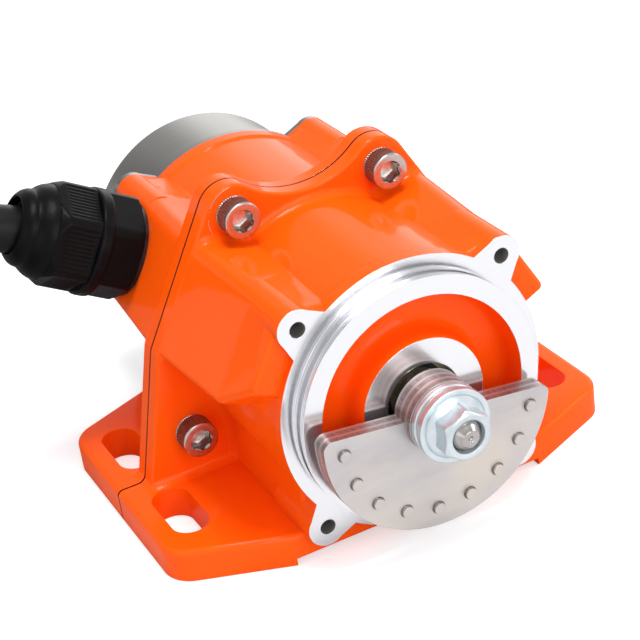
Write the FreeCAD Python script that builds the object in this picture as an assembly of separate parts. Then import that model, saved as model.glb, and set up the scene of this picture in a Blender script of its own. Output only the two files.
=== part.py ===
"""Twin-shell vibration motor with adjustable half-disc weights.

The shaft lies along X, with the open front end towards +X and the cable gland
on the -Y side. The origin is on the mounting surface, under the parting plane.
Lengths are millimetres and angles are degrees.
"""
import FreeCAD
import Part
import math
import os

V = FreeCAD.Vector

# Housing shells
SHAFT_HEIGHT = 39.2
SHELL_LENGTH = 52.0
BARREL_R = 36.4
BARREL_WALL = 5.2
RING_STEP = 0.6
FACE_RING_DEPTH = 4.0
SPIGOT_STEP = 3.6
SPIGOT_LENGTH = 5.2
SPIGOT_WALL = 5.0
RECESS_DEPTH = 8.0
BOSS_R = 16.9
BOSS_BORE_R = 10.3
END_WALL = 5.5
GROOVE_WIDTH = 2.0
GROOVE_DEPTH = 1.5
GROOVE_OFFSET = 2.4

# Parting flange with its four screws
FLANGE = 5.0
GASKET = 0.3
LOBE_Y = 21.5
LOBE_Z = 79.0
LOBE_R = 8.0
VALLEY_Z = 79.2
WALL_TILT = 29.5
SHOULDER_Z = 46.8
SHOULDER_ROUND = 5.0
FLANGE_FOOT_Y = 59.0
LOW_SCREW_Y = 43.5
LOW_SCREW_Z = 21.9
M6_ROOT_R = 2.45
M6_CLEAR_R = 3.3
M6_HEAD_R = 5.0
M6_HEAD = 6.0
M6_KEY = 5.0

FLANGE_EDGE_R = 0.8
ROOT_ROUND = 2.5

# Side wings and lugs
WING_SETBACK = 2.0
WING_DRAFT = 3.0
WING_EDGE_R = 1.6
WING_ROOT_R = 3.0
WING_UNDER_TILT = 25.0
WING_TOP_TILT = 14.0
WING_BEVEL_RUN = 13.5
WING_BEVEL_TILT = 35.0
WING_BEVEL_R = 4.0
LUG_SPAN = 3.3
LUG_R = 5.4
LUG_HOLE_R = 2.1
LUG_HOLE_DEPTH = 14.0
LUG_ROOT = 11.0
LUG_LENGTH = 20.0

# Pedestal and feet
FOOT_WIDTH = 132.0
FOOT_THICK = 9.0
FOOT_STRAIGHT = 35.5
FOOT_SETBACK = 4.0
FOOT_NOSE_Y = 36.6
FOOT_CORNER_R = 9.0
FOOT_EDGE_R = 1.6
FOOT_RELIEF = 2.0
SLOT_WIDTH = 10.2
SLOT_LENGTH = 23.0
SLOT_X = 18.7
SLOT_Y = 55.4
PEDESTAL_Y = 31.5
PEDESTAL_DRAFT = 1.5
PEDESTAL_SETBACK = 5.0
PEDESTAL_CORNER_R = 3.0

# Stator, rotor and shaft
STATOR_BORE_R = 17.0
STATOR_LENGTH = 44.0
SLOT_COUNT = 12
WINDING_REACH = 12.0
WINDING_INNER_R = 18.5
WINDING_OUTER_R = 28.5
AIR_GAP = 0.4
ROTOR_RING = 5.0
SHAFT_R = 8.0
JOURNAL_R = 5.0
THREAD_R = 4.0
THREAD_SHOW = 10.45
KEY_FLAT = 4.2

# Bearings
BEARING_OUTER_R = 13.0
BEARING_WIDTH = 8.0
INNER_RING_R = 7.3
OUTER_RING_R = 10.7
BALL_R = 2.35
BALL_COUNT = 7
SEAL_THICK = 0.8
SPRING_GAP = 0.8

# Eccentric weights and what clamps them
WEIGHT_R = 31.9
WEIGHT_SETOFF = 7.5
WEIGHT_THICK = 2.5
WEIGHT_TURN = -7.0
WEIGHT_CORNER_R = 2.5
HUB_R = 9.8
PIN_COUNT = 9
PIN_STEP = 20.0
PIN_CIRCLE_R = 26.7
PIN_R = 1.5
PIN_HEIGHT = 0.9
SPACER_THICK = 2.4
WASHER_THICK = 2.0
WASHER_R = 9.6
NUT_FLANGE_R = 9.2
NUT_FLANGE = 1.6
NUT_HEX = 13.0
NUT_HEIGHT = 8.0
SLEEVE_R = 7.6

# Rear cover
COVER_WALL = 1.2
COVER_LENGTH = 30.6
COVER_FLANGE = 1.8
COVER_CORNER_R = 4.0
M5_SHANK_R = 2.45
M5_HEAD_R = 4.25
M5_HEAD = 5.0
M5_KEY = 4.0
M5_LENGTH = 10.0

# Cable gland
GLAND_SETBACK = 18.5
GLAND_Z = 60.0
GLAND_HEX = 26.5
GLAND_BODY = 10.4
GLAND_COLLAR_R = 15.0
GLAND_COLLAR = 3.6
GLAND_NUT = 20.5
GLAND_NUT_HEX_LENGTH = 12.0
GLAND_THREAD_R = 10.0
GLAND_THREAD = 9.0
GLAND_MOUTH_R = 7.6
GLAND_RING = 1.2
GLAND_SEAT_R = 14.0

# Cable: its radius, the points of its free route as steps from the gland's mouth, and its coil
CABLE_R = 6.5
CABLE_LEAD = 8.0
CABLE_STEPS = [
    (-5.5, -49.6, 8.8),
    (-17.0, -87.0, -10.5),
    (-31.5, -106.4, -49.0),
    (-38.0, -140.8, -70.5),
    (-38.0, -181.8, -70.5),
]
COIL_START_R = 74.0
COIL_TURNS = 2
CORE_COUNT = 4
CORE_R = 1.4
CORE_LENGTH = 25.0
CORE_LEAN = 16.0

# Clearances
FIT = 0.05
FACE_GAP = 0.05
COVER_FIT = 0.1

AXIS = V(0, 0, SHAFT_HEIGHT)
ALONG = V(1, 0, 0)
FACE_RING_R = BARREL_R + RING_STEP
SPIGOT_R = FACE_RING_R - SPIGOT_STEP
RECESS_R = SPIGOT_R - SPIGOT_WALL
COVER_R = SPIGOT_R + COVER_FIT + COVER_WALL
OUTER_END = SHELL_LENGTH + SPIGOT_LENGTH
WING_END = SHELL_LENGTH - WING_SETBACK
FOOT_LENGTH = SHELL_LENGTH - FOOT_SETBACK
PEDESTAL_END = SHELL_LENGTH - PEDESTAL_SETBACK
GLAND_X = GLAND_SETBACK - SHELL_LENGTH
WEIGHT_START = SHELL_LENGTH + WEIGHT_SETOFF
BORE_R = BARREL_R - BARREL_WALL
TILT = math.radians(WALL_TILT)
WALL_OFFSET = LOBE_Y * math.cos(TILT) + LOBE_Z * math.sin(TILT) + LOBE_R
LUG_OFFSET = (FACE_RING_R + LUG_SPAN) * math.sqrt(0.5)
PLATE_JOIN = WEIGHT_START + WEIGHT_THICK
PLATE_FACE = PLATE_JOIN + WEIGHT_THICK
NUT_SEAT = PLATE_FACE + SPACER_THICK + WASHER_THICK + FACE_GAP
SHAFT_REACH = NUT_SEAT + THREAD_SHOW
DRAFT_SLOPE = WING_DRAFT / (WING_END - FLANGE / 2)


def polygon(points):
    """Closed face through the given points."""
    return Part.Face(Part.makePolygon(list(points) + [points[0]]))


def rounded_wire(points, radii, x):
    """Closed wire in the plane X = x through (y, z) points, with each corner rounded by its radius."""
    count = len(points)
    ends = []
    for i in range(count):
        here = V(x, points[i][0], points[i][1])
        back = (V(x, *points[i - 1]) - here).normalize()
        ahead = (V(x, *points[(i + 1) % count]) - here).normalize()
        half = back.getAngle(ahead) / 2
        reach = radii[i] / math.tan(half)
        inward = (back + ahead).normalize()
        middle = here + inward * (radii[i] / math.sin(half) - radii[i])
        ends.append((here + back * reach, middle, here + ahead * reach))
    edges = []
    for i in range(count):
        first, middle, last = ends[i]
        if radii[i] > 0:
            edges.append(Part.Arc(first, middle, last).toShape())
        edges.append(Part.LineSegment(last, ends[(i + 1) % count][0]).toShape())
    return Part.Wire(edges)


def turned(profile):
    """Solid turned about the shaft axis from (x, radius) points."""
    face = polygon([V(x, 0, SHAFT_HEIGHT + r) for x, r in profile])
    return face.revolve(AXIS, ALONG, 360)


def rod(radius, start, end, y=0.0, z=SHAFT_HEIGHT):
    """Cylinder along X between two stations."""
    return Part.makeCylinder(radius, end - start, V(start, y, z), ALONG)


def tube(outer, inner, start, end):
    return rod(outer, start, end).cut(rod(inner, start - 1, end + 1))


def hexagon(across_flats, start, end, y=0.0, z=SHAFT_HEIGHT):
    """Hexagonal prism along X, with two flats level."""
    radius = across_flats / math.sqrt(3)
    corners = []
    for i in range(6):
        angle = math.radians(60 * i)
        corners.append(V(start, y + radius * math.cos(angle), z + radius * math.sin(angle)))
    return polygon(corners).extrude(V(end - start, 0, 0))


def to_rear(shape):
    """Mirror image of a front piece at the rear end."""
    return shape.mirror(V(0, 0, 0), ALONG)


def wall_y(z, offset):
    """Half width of the tilted side wall at height z."""
    return (offset - z * math.sin(TILT)) / math.cos(TILT)


def flange_wire(x):
    """Outline of the parting flange: tapered waist, tilted sides, two lobes and a hollow between."""
    lobe = V(x, LOBE_Y, LOBE_Z)
    out = V(0, math.cos(TILT), math.sin(TILT))
    drop = VALLEY_Z - LOBE_Z
    valley_r = (LOBE_Y ** 2 + drop ** 2 - LOBE_R ** 2) / (2 * (LOBE_R - drop))
    valley = V(x, 0, VALLEY_Z + valley_r)
    touch = lobe + (valley - lobe).normalize() * LOBE_R
    side = lobe + out * LOBE_R
    crown = lobe + V(0, 0, LOBE_R)
    foot = V(x, FLANGE_FOOT_Y, FOOT_THICK / 2)
    shoulder = V(x, wall_y(SHOULDER_Z, WALL_OFFSET), SHOULDER_Z)
    down = (foot - shoulder).normalize()
    up = (side - shoulder).normalize()
    half = down.getAngle(up) / 2
    reach = SHOULDER_ROUND / math.tan(half)
    centre = shoulder + (down + up).normalize() * (SHOULDER_ROUND / math.sin(half))
    bend = centre + (shoulder - centre).normalize() * SHOULDER_ROUND
    right = [
        Part.LineSegment(foot, shoulder + down * reach).toShape(),
        Part.Arc(shoulder + down * reach, bend, shoulder + up * reach).toShape(),
        Part.LineSegment(shoulder + up * reach, side).toShape(),
        Part.Arc(side, crown, touch).toShape(),
    ]
    hollow = Part.Arc(touch, V(x, 0, VALLEY_Z), V(x, -touch.y, touch.z)).toShape()
    left = [edge.mirror(V(0, 0, 0), V(0, 1, 0)) for edge in right]
    base = Part.LineSegment(V(x, -foot.y, foot.z), foot).toShape()
    return Part.Wire(Part.__sortEdges__(right + [hollow] + left + [base]))


def screw_places():
    """Centres (y, z) of the four flange screws."""
    return [(LOBE_Y, LOBE_Z), (-LOBE_Y, LOBE_Z), (LOW_SCREW_Y, LOW_SCREW_Z), (-LOW_SCREW_Y, LOW_SCREW_Z)]


def lug_places():
    """Centres (y, z) of the four cover lugs, upper pair first."""
    spots = []
    for up in (1, -1):
        for side in (1, -1):
            spots.append((side * LUG_OFFSET, SHAFT_HEIGHT + up * LUG_OFFSET))
    return spots


def beyond(point, normal):
    """Large block on the outer side of a plane."""
    size = 4 * FOOT_WIDTH
    block = Part.makeBox(size, size, size, V(-size / 2, -size / 2, 0))
    block.Placement = FreeCAD.Placement(point, FreeCAD.Rotation(V(0, 0, 1), normal))
    return block


def unit(vector, down=False):
    """Unit vector, turned over if it doesn't point up, or down where that is asked."""
    sign = -1 if (vector.z > 0) == down else 1
    return V(vector).normalize() * sign


def side_wall():
    """Outward direction of the drafted side wall, on the front shell's +Y side."""
    return V(DRAFT_SLOPE, math.cos(TILT), math.sin(TILT)).normalize()


def tilted(degrees):
    """Direction inwards and down by an angle, across the shaft."""
    return V(0, -math.cos(math.radians(degrees)), -math.sin(math.radians(degrees)))


def wing_planes():
    """Point and outward direction of a wing's wall, underside, crest and front bevel."""
    start = FLANGE / 2
    wall = side_wall()
    ridge = V(start, wall_y(SHOULDER_Z, WALL_OFFSET), SHOULDER_Z)
    along = wall.cross(V(0, 0, 1)).normalize()
    under = unit(along.cross(tilted(WING_UNDER_TILT)), down=True)
    crest_z = SHAFT_HEIGHT + LUG_OFFSET + LUG_R
    crest = V(WING_END, wall_y(crest_z, WALL_OFFSET - WING_DRAFT), crest_z)
    falling = V(1, -DRAFT_SLOPE * math.cos(TILT), -DRAFT_SLOPE * math.sin(TILT))
    top = unit(falling.cross(tilted(WING_TOP_TILT)))
    corner = ridge + along * ((WING_END - WING_BEVEL_RUN - start) / along.x)
    rising = V(math.cos(math.radians(WING_BEVEL_TILT)), 0, math.sin(math.radians(WING_BEVEL_TILT)))
    bevel = unit(rising.cross(tilted(WING_UNDER_TILT)), down=True)
    return [(ridge, wall), (ridge, under), (crest, top), (corner, bevel)]


def edges_between(body, first, second):
    """Edges where a flat face with the first direction meets one with the second."""
    found = []
    for edge in body.Edges:
        sides = [face.normalAt(0, 0) for face in body.ancestorsOfType(edge, Part.Face)]
        meets = [any(side.getAngle(n) < 0.02 for side in sides) for n in (first, second)]
        if all(meets):
            found.append(edge)
    return found


def wing():
    """Side wing of the front shell on the +Y side, bounded by its planes and rounded on its edges."""
    planes = wing_planes()
    wall, under, top, bevel = [normal for point, normal in planes]
    start = FLANGE / 2
    body = Part.makeBox(WING_END - start, FOOT_WIDTH, FOOT_WIDTH, V(start, 0, 0))
    body = body.cut([beyond(point, normal) for point, normal in planes]).removeSplitter()
    body = body.makeFillet(LUG_R, edges_between(body, wall, top))
    body = body.makeFillet(WING_BEVEL_R, edges_between(body, under, bevel))
    rim = edges_between(body, wall, under) + edges_between(body, wall, bevel)
    for edge in body.Edges:
        box = edge.BoundBox
        low_corner = box.XMin > start and box.XLength > 0.5 and box.ZMax < SHOULDER_Z + WING_BEVEL_RUN
        on_wall = any(abs((v.Point - planes[0][0]).dot(wall)) < 0.01 for v in edge.Vertexes)
        front = box.XMin > WING_END - 0.01 and box.YMax > 1
        known = any(edge.isSame(other) for other in rim)
        if not known and (front or (low_corner and on_wall and both_on(edge, planes[0]))):
            rim.append(edge)
    return body.makeFillet(WING_EDGE_R, rim)


def both_on(edge, plane):
    """Whether an edge runs within a plane."""
    point, normal = plane
    return all(abs((v.Point - point).dot(normal)) < 0.01 for v in edge.Vertexes)


def lug(y, z, start):
    """Screw lug with straight flanks running in to the ring."""
    side = 1 if y > 0 else -1
    up = 1 if z > SHAFT_HEIGHT else -1
    out = V(0, side, up).normalize()
    across = V(0, -out.z, out.y)
    centre = V(start, y, z)
    foot = centre - out * LUG_ROOT
    tip = centre + out * LUG_R
    spread = LUG_R * 1.75
    corners = [foot + across * spread, centre + across * LUG_R * 0.97 + out * 0.8,
               centre - across * LUG_R * 0.97 + out * 0.8, foot - across * spread]
    edges = [
        Part.LineSegment(corners[0], corners[1]).toShape(),
        Part.Arc(corners[1], tip, corners[2]).toShape(),
        Part.LineSegment(corners[2], corners[3]).toShape(),
        Part.LineSegment(corners[3], corners[0]).toShape(),
    ]
    return Part.Face(Part.Wire(edges)).extrude(V(SHELL_LENGTH - start, 0, 0))


def foot_plate():
    """Half of the mounting foot, with tapered front corners and a rounded top edge."""
    half = FOOT_WIDTH / 2
    outline = [(0, -half), (FOOT_STRAIGHT, -half), (FOOT_LENGTH, -FOOT_NOSE_Y),
               (FOOT_LENGTH, FOOT_NOSE_Y), (FOOT_STRAIGHT, half), (0, half)]
    plate = polygon([V(x, y, 0) for x, y in outline]).extrude(V(0, 0, FOOT_THICK))
    corners = []
    for edge in plate.Edges:
        box = edge.BoundBox
        if box.ZLength > FOOT_THICK / 2 and abs(box.XMin - FOOT_STRAIGHT) < 0.01:
            corners.append(edge)
    plate = plate.makeFillet(FOOT_CORNER_R, corners)
    rim = []
    for edge in plate.Edges:
        box = edge.BoundBox
        if box.ZMin > FOOT_THICK - 0.01 and box.XMax > 0.01:
            rim.append(edge)
    plate = plate.makeFillet(FOOT_EDGE_R, rim)
    relief = Part.makeBox(FOOT_LENGTH + 2, 2 * FOOT_NOSE_Y, FOOT_RELIEF, V(-1, -FOOT_NOSE_Y, 0))
    return plate.cut(relief)


def foot_slot(side):
    """Rounded slot through one foot."""
    reach = (SLOT_LENGTH - SLOT_WIDTH) / 2
    y = side * SLOT_Y
    radius = SLOT_WIDTH / 2
    block = Part.makeBox(2 * reach, SLOT_WIDTH, FOOT_THICK + 2, V(SLOT_X - reach, y - radius, -1))
    for end in (-reach, reach):
        block = block.fuse(Part.makeCylinder(radius, FOOT_THICK + 2, V(SLOT_X + end, y, -1)))
    return block.removeSplitter()


def pedestal():
    """Block that joins the barrel to the foot, drawn in towards the top."""
    low = PEDESTAL_Y + PEDESTAL_DRAFT
    top = SHAFT_HEIGHT - BARREL_R * 0.35
    corners = [V(0, -low, FOOT_RELIEF), V(0, low, FOOT_RELIEF), V(0, PEDESTAL_Y, top),
               V(0, -PEDESTAL_Y, top)]
    body = polygon(corners).extrude(V(PEDESTAL_END, 0, 0))
    front = []
    for edge in body.Edges:
        box = edge.BoundBox
        if box.XMin > PEDESTAL_END - 0.01 and box.ZLength > 1:
            front.append(edge)
    return body.makeFillet(PEDESTAL_CORNER_R, front)


def flange_plate():
    """Flange of the front shell, its front edge rounded above the foot."""
    plate = Part.Face(flange_wire(0)).extrude(V(FLANGE, 0, 0))
    rim = []
    for edge in plate.Edges:
        box = edge.BoundBox
        if box.XMin > FLANGE - 0.01 and box.ZMax > FOOT_THICK:
            rim.append(edge)
    return plate.makeFillet(FLANGE_EDGE_R, rim)


def flange_roots(body):
    """Inner corners where barrel, wings, pedestal and foot run in to the flange's face."""
    roots = []
    for edge in body.Edges:
        box = edge.BoundBox
        if abs(box.XMin - FLANGE) > 0.01 or abs(box.XMax - FLANGE) > 0.01:
            continue
        reach = max(face.BoundBox.XMax for face in body.ancestorsOfType(edge, Part.Face))
        if reach > FLANGE + ROOT_ROUND:
            roots.append(edge)
    return roots


def is_barrel(face):
    return isinstance(face.Surface, Part.Cylinder) and abs(face.Surface.Radius - BARREL_R) < 0.01


def wing_roots(body):
    """Inner corners where the wings' undersides run in to the barrel."""
    roots = []
    for edge in body.Edges:
        sides = body.ancestorsOfType(edge, Part.Face)
        flat = any(isinstance(face.Surface, Part.Plane) and abs(face.Surface.Axis.x) < 0.5 for face in sides)
        long = edge.BoundBox.XLength > WING_END / 3
        level = SHAFT_HEIGHT < edge.BoundBox.ZMin < SHAFT_HEIGHT + LUG_OFFSET / 2
        if flat and long and level and any(is_barrel(face) for face in sides):
            roots.append(edge)
    return roots


def face_ring():
    """Thick ring at the front end of the barrel, with a bevelled back."""
    start = SHELL_LENGTH - FACE_RING_DEPTH
    return turned([(start - 1, 0), (start - 1, BARREL_R), (start, FACE_RING_R), (SHELL_LENGTH, FACE_RING_R),
                   (SHELL_LENGTH, 0)])


def casting():
    """Outer form of the front shell before it is bored."""
    barrel = rod(BARREL_R, 0, SHELL_LENGTH - FACE_RING_DEPTH)
    right = wing()
    left = right.mirror(V(0, 0, 0), V(0, 1, 0))
    body = barrel.multiFuse([flange_plate(), pedestal(), foot_plate(), right, left]).removeSplitter()
    body = body.makeFillet(ROOT_ROUND, flange_roots(body))
    body = body.makeFillet(WING_ROOT_R, wing_roots(body))
    lugs = [lug(y, z, SHELL_LENGTH - LUG_LENGTH) for y, z in lug_places()]
    return body.multiFuse([face_ring()] + lugs).removeSplitter()


def shell_bores(spring):
    """All that is turned out of a shell; spring is the extra depth of its bearing seat."""
    seat_end = SHELL_LENGTH + spring
    seat_start = SHELL_LENGTH - BEARING_WIDTH
    cavity_end = SHELL_LENGTH - RECESS_DEPTH + SPIGOT_LENGTH - END_WALL
    cavity = turned([(-1, 0), (-1, BORE_R), (cavity_end - 3, BORE_R), (cavity_end, BORE_R - 3),
                     (cavity_end, BOSS_R), (seat_start, BEARING_OUTER_R + 1.5), (seat_start, 0)])
    seat = rod(BEARING_OUTER_R, seat_start - 1, seat_end)
    throat = rod(BOSS_BORE_R, seat_start, OUTER_END + 1)
    floor = OUTER_END - RECESS_DEPTH
    recess = turned([(floor, BOSS_R + 1.2), (floor, RECESS_R - 0.8), (OUTER_END + 1, RECESS_R + 0.1),
                     (OUTER_END + 1, BOSS_R - 0.1)])
    return [cavity, seat, throat, recess]


def spigot():
    """Turned register of the cover, with its sealing groove."""
    ring = rod(SPIGOT_R, SHELL_LENGTH - 1, OUTER_END)
    groove = tube(SPIGOT_R + 1, SPIGOT_R - GROOVE_DEPTH, SHELL_LENGTH + GROOVE_OFFSET - GROOVE_WIDTH / 2,
                  SHELL_LENGTH + GROOVE_OFFSET + GROOVE_WIDTH / 2)
    return ring.cut(groove)


def shell(spring, screw_r, lug_r):
    """One housing shell, as the front one, with flange and lug holes of the given radii."""
    body = casting().fuse(spigot())
    cuts = shell_bores(spring)
    for y, z in lug_places():
        cuts.append(rod(lug_r, SHELL_LENGTH - LUG_HOLE_DEPTH, SHELL_LENGTH + 1, y, z))
    for y, z in screw_places():
        cuts.append(rod(screw_r, -1, FLANGE + 1, y, z))
        cuts.append(rod(M6_HEAD_R + 0.8, FLANGE, FLANGE + M6_HEAD + 3, y, z))
    for side in (1, -1):
        cuts.append(foot_slot(side))
    return body.cut(cuts)


def gland_direction():
    """Outward direction of the rear shell's side wall on the -Y side."""
    wall = side_wall()
    return V(-wall.x, -wall.y, wall.z)


def gland_base():
    """Point on the rear wall where the gland is screwed in."""
    draft = DRAFT_SLOPE * (-GLAND_X - FLANGE / 2)
    return V(GLAND_X, -wall_y(GLAND_Z, WALL_OFFSET - draft), GLAND_Z)


def on_gland(shape):
    """Carry a shape made about +Z from the origin to the gland's place."""
    turn = FreeCAD.Rotation(V(0, 0, 1), gland_direction())
    shape.Placement = FreeCAD.Placement(gland_base(), turn)
    return shape


def lathe(profile):
    """Solid turned about +Z from (radius, z) points."""
    return polygon([V(r, 0, z) for r, z in profile]).revolve(V(0, 0, 0), V(0, 0, 1), 360)


def upright_hexagon(across_flats, low, high):
    radius = across_flats / math.sqrt(3)
    corners = []
    for i in range(6):
        angle = math.radians(60 * i + 30)
        corners.append(V(radius * math.cos(angle), radius * math.sin(angle), low))
    return polygon(corners).extrude(V(0, 0, high - low))


def front_housing():
    return shell(0, M6_CLEAR_R, LUG_HOLE_R)


def gasket_sheet():
    """Sheet of the gasket's thickness, as wide as the flange and down to the top of the feet."""
    sheet = Part.Face(flange_wire(-GASKET)).extrude(V(GASKET, 0, 0))
    return sheet.cut(Part.makeBox(2, FOOT_WIDTH, FOOT_THICK, V(-GASKET - 1, -FOOT_WIDTH / 2, 0)))


def rear_housing():
    """Rear shell, with the gland's seat and tapped hole, and a face set back for the gasket."""
    body = to_rear(shell(SPRING_GAP, M6_ROOT_R + FIT, M5_SHANK_R + FIT))
    inward = GLAND_THREAD_R * 3
    tapped = on_gland(Part.makeCylinder(GLAND_THREAD_R + FIT, inward + 1, V(0, 0, -inward)))
    seat = on_gland(Part.makeCylinder(GLAND_SEAT_R, GLAND_BODY))
    return body.cut([tapped, seat, gasket_sheet()])


def housing_gasket():
    """Paper gasket let in to the rear shell's side of the joint."""
    cuts = [rod(BORE_R, -GASKET - 1, 1)]
    for y, z in screw_places():
        cuts.append(rod(M6_CLEAR_R, -GASKET - 1, 1, y, z))
    return gasket_sheet().cut(cuts)


def socket_screw(y, z, seat, head_r, head, key, root_r, length, stem_r):
    """Socket head screw pointing to -X, with its head on the plane X = seat."""
    edge = head_r * 0.08
    profile = [(seat, 0), (seat, head_r), (seat + head - edge, head_r), (seat + head, head_r - edge),
               (seat + head, 0)]
    body = polygon([V(x, y, z + r) for x, r in profile]).revolve(V(0, y, z), ALONG, 360)
    body = body.cut(hexagon(key, seat + head * 0.45, seat + head + 1, y, z))
    body = body.fuse(rod(stem_r, seat - length * 0.4, seat, y, z))
    return body.fuse(rod(root_r, seat - length, seat, y, z)).removeSplitter()


def housing_screws():
    length = 2 * FLANGE - 0.4
    screws = []
    for y, z in screw_places():
        screws.append(socket_screw(y, z, FLANGE, M6_HEAD_R, M6_HEAD, M6_KEY, M6_ROOT_R, length,
                                   M6_CLEAR_R - 0.4))
    return Part.makeCompound(screws)


def rear_cover():
    """Deep-drawn cup with a flange and four ears."""
    end = SHELL_LENGTH + COVER_LENGTH
    start = SHELL_LENGTH
    inner = COVER_R - COVER_WALL
    cup = rod(COVER_R, start, end)
    rim = [edge for edge in cup.Edges if edge.BoundBox.XMin > end - 0.01]
    cup = cup.makeFillet(COVER_CORNER_R, rim)
    flange = rod(FACE_RING_R, start, start + COVER_FLANGE)
    ears = []
    for y, z in lug_places():
        ear = lug(y, z, SHELL_LENGTH - COVER_FLANGE)
        ears.append(ear.translated(V(COVER_FLANGE, 0, 0)))
    body = cup.multiFuse([flange] + ears)
    hollow = rod(inner, start - 1, end - COVER_WALL)
    far = [edge for edge in hollow.Edges if edge.BoundBox.XMin > end - COVER_WALL - 0.01]
    hollow = hollow.makeFillet(COVER_CORNER_R - COVER_WALL, far)
    cuts = [hollow]
    for y, z in lug_places():
        cuts.append(rod(M5_SHANK_R + 0.6, start - 1, start + COVER_FLANGE + 1, y, z))
    return to_rear(body.cut(cuts).removeSplitter())


def rear_cover_screws():
    screws = []
    seat = SHELL_LENGTH + COVER_FLANGE
    for y, z in lug_places():
        screws.append(socket_screw(y, z, seat, M5_HEAD_R, M5_HEAD, M5_KEY, M5_SHANK_R, M5_LENGTH,
                                   M5_SHANK_R))
    return to_rear(Part.makeCompound(screws))


def rear_cover_oring():
    minor = (COVER_R - COVER_WALL - SPIGOT_R + GROOVE_DEPTH) / 2 - 0.01
    major = SPIGOT_R - GROOVE_DEPTH + minor
    centre = V(-SHELL_LENGTH - GROOVE_OFFSET, 0, SHAFT_HEIGHT)
    return Part.makeTorus(major, minor, centre, ALONG)


def stator_core():
    """Laminated ring with open winding slots."""
    half = STATOR_LENGTH / 2
    core = tube(BORE_R - FIT, STATOR_BORE_R, -half, half)
    cuts = []
    for i in range(SLOT_COUNT):
        gap = Part.makeBox(STATOR_LENGTH + 2, 2.2, 4, V(-half - 1, -1.1, STATOR_BORE_R - 1))
        hole = Part.makeCylinder(3.4, STATOR_LENGTH + 2, V(-half - 1, 0, STATOR_BORE_R + 5.5), ALONG)
        slot = gap.fuse(hole)
        slot.rotate(V(0, 0, 0), ALONG, 360 * i / SLOT_COUNT)
        slot.translate(AXIS)
        cuts.append(slot)
    return core.cut(cuts)


def stator_windings():
    """End turns of the coils at both faces of the core."""
    half = STATOR_LENGTH / 2
    rings = []
    for sign in (1, -1):
        near = sign * half
        far = sign * (half + WINDING_REACH)
        mid = (WINDING_INNER_R + WINDING_OUTER_R) / 2
        ring = turned([(near, WINDING_INNER_R), (near, WINDING_OUTER_R - 1),
                       (near + sign * 3, WINDING_OUTER_R), (far - sign * 3, WINDING_OUTER_R),
                       (far, mid + 2), (far, mid - 2), (far - sign * 3, WINDING_INNER_R)])
        rings.append(ring)
    return Part.makeCompound(rings)


def rotor_core():
    """Cage rotor: lamination stack with a cast ring at each end."""
    half = STATOR_LENGTH / 2
    radius = STATOR_BORE_R - AIR_GAP
    end = half + ROTOR_RING
    return turned([(-end, SHAFT_R), (-end, radius - 2.5), (-half, radius - 1), (-half, radius),
                   (half, radius), (half, radius - 1), (end, radius - 2.5), (end, SHAFT_R)])


def shaft():
    """Stepped shaft with two journals, a driving flat and threaded ends."""
    step = SHELL_LENGTH - BEARING_WIDTH
    bevel = 0.8
    right = [(step, SHAFT_R - 1.5), (step, JOURNAL_R), (PLATE_FACE, JOURNAL_R), (PLATE_FACE, THREAD_R),
             (SHAFT_REACH - bevel, THREAD_R), (SHAFT_REACH, THREAD_R - bevel), (SHAFT_REACH, 0)]
    middle = [(STATOR_LENGTH / 2 + ROTOR_RING + 1, SHAFT_R), (STATOR_LENGTH / 2 + ROTOR_RING + 1, SHAFT_R - 1.5)]
    half = middle + right
    profile = [(-x, r) for x, r in reversed(half)] + half
    body = turned(profile)
    cuts = []
    for sign in (1, -1):
        start = min(sign * WEIGHT_START, sign * PLATE_JOIN)
        flat = Part.makeBox(WEIGHT_THICK, 3 * JOURNAL_R, JOURNAL_R,
                            V(start, -1.5 * JOURNAL_R, SHAFT_HEIGHT + KEY_FLAT))
        flat.rotate(AXIS, ALONG, WEIGHT_TURN)
        cuts.append(flat)
    return body.cut(cuts)


def weight_outline(x):
    """Half disc below the shaft, with rounded corners and a round hub above."""
    disc = rod(WEIGHT_R, x, x + WEIGHT_THICK)
    lower = Part.makeBox(WEIGHT_THICK, 2 * WEIGHT_R, WEIGHT_R + 1,
                         V(x, -WEIGHT_R, SHAFT_HEIGHT - WEIGHT_R - 1))
    plate = disc.common(lower)
    corners = []
    for edge in plate.Edges:
        box = edge.BoundBox
        if box.XLength > WEIGHT_THICK / 2 and box.ZMin > SHAFT_HEIGHT - 1:
            corners.append(edge)
    plate = plate.makeFillet(WEIGHT_CORNER_R, corners)
    return plate.fuse(rod(HUB_R, x, x + WEIGHT_THICK)).removeSplitter()


def fixed_weight():
    """Inner plate, driven by the flat of the shaft."""
    plate = weight_outline(WEIGHT_START)
    bore = rod(JOURNAL_R + FIT, WEIGHT_START - 1, PLATE_JOIN + 1)
    flat = Part.makeBox(WEIGHT_THICK + 4, 4 * JOURNAL_R, JOURNAL_R,
                        V(WEIGHT_START - 2, -2 * JOURNAL_R, SHAFT_HEIGHT + KEY_FLAT + FIT))
    plate = plate.cut(bore.cut(flat))
    plate.rotate(AXIS, ALONG, WEIGHT_TURN)
    return plate


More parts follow.
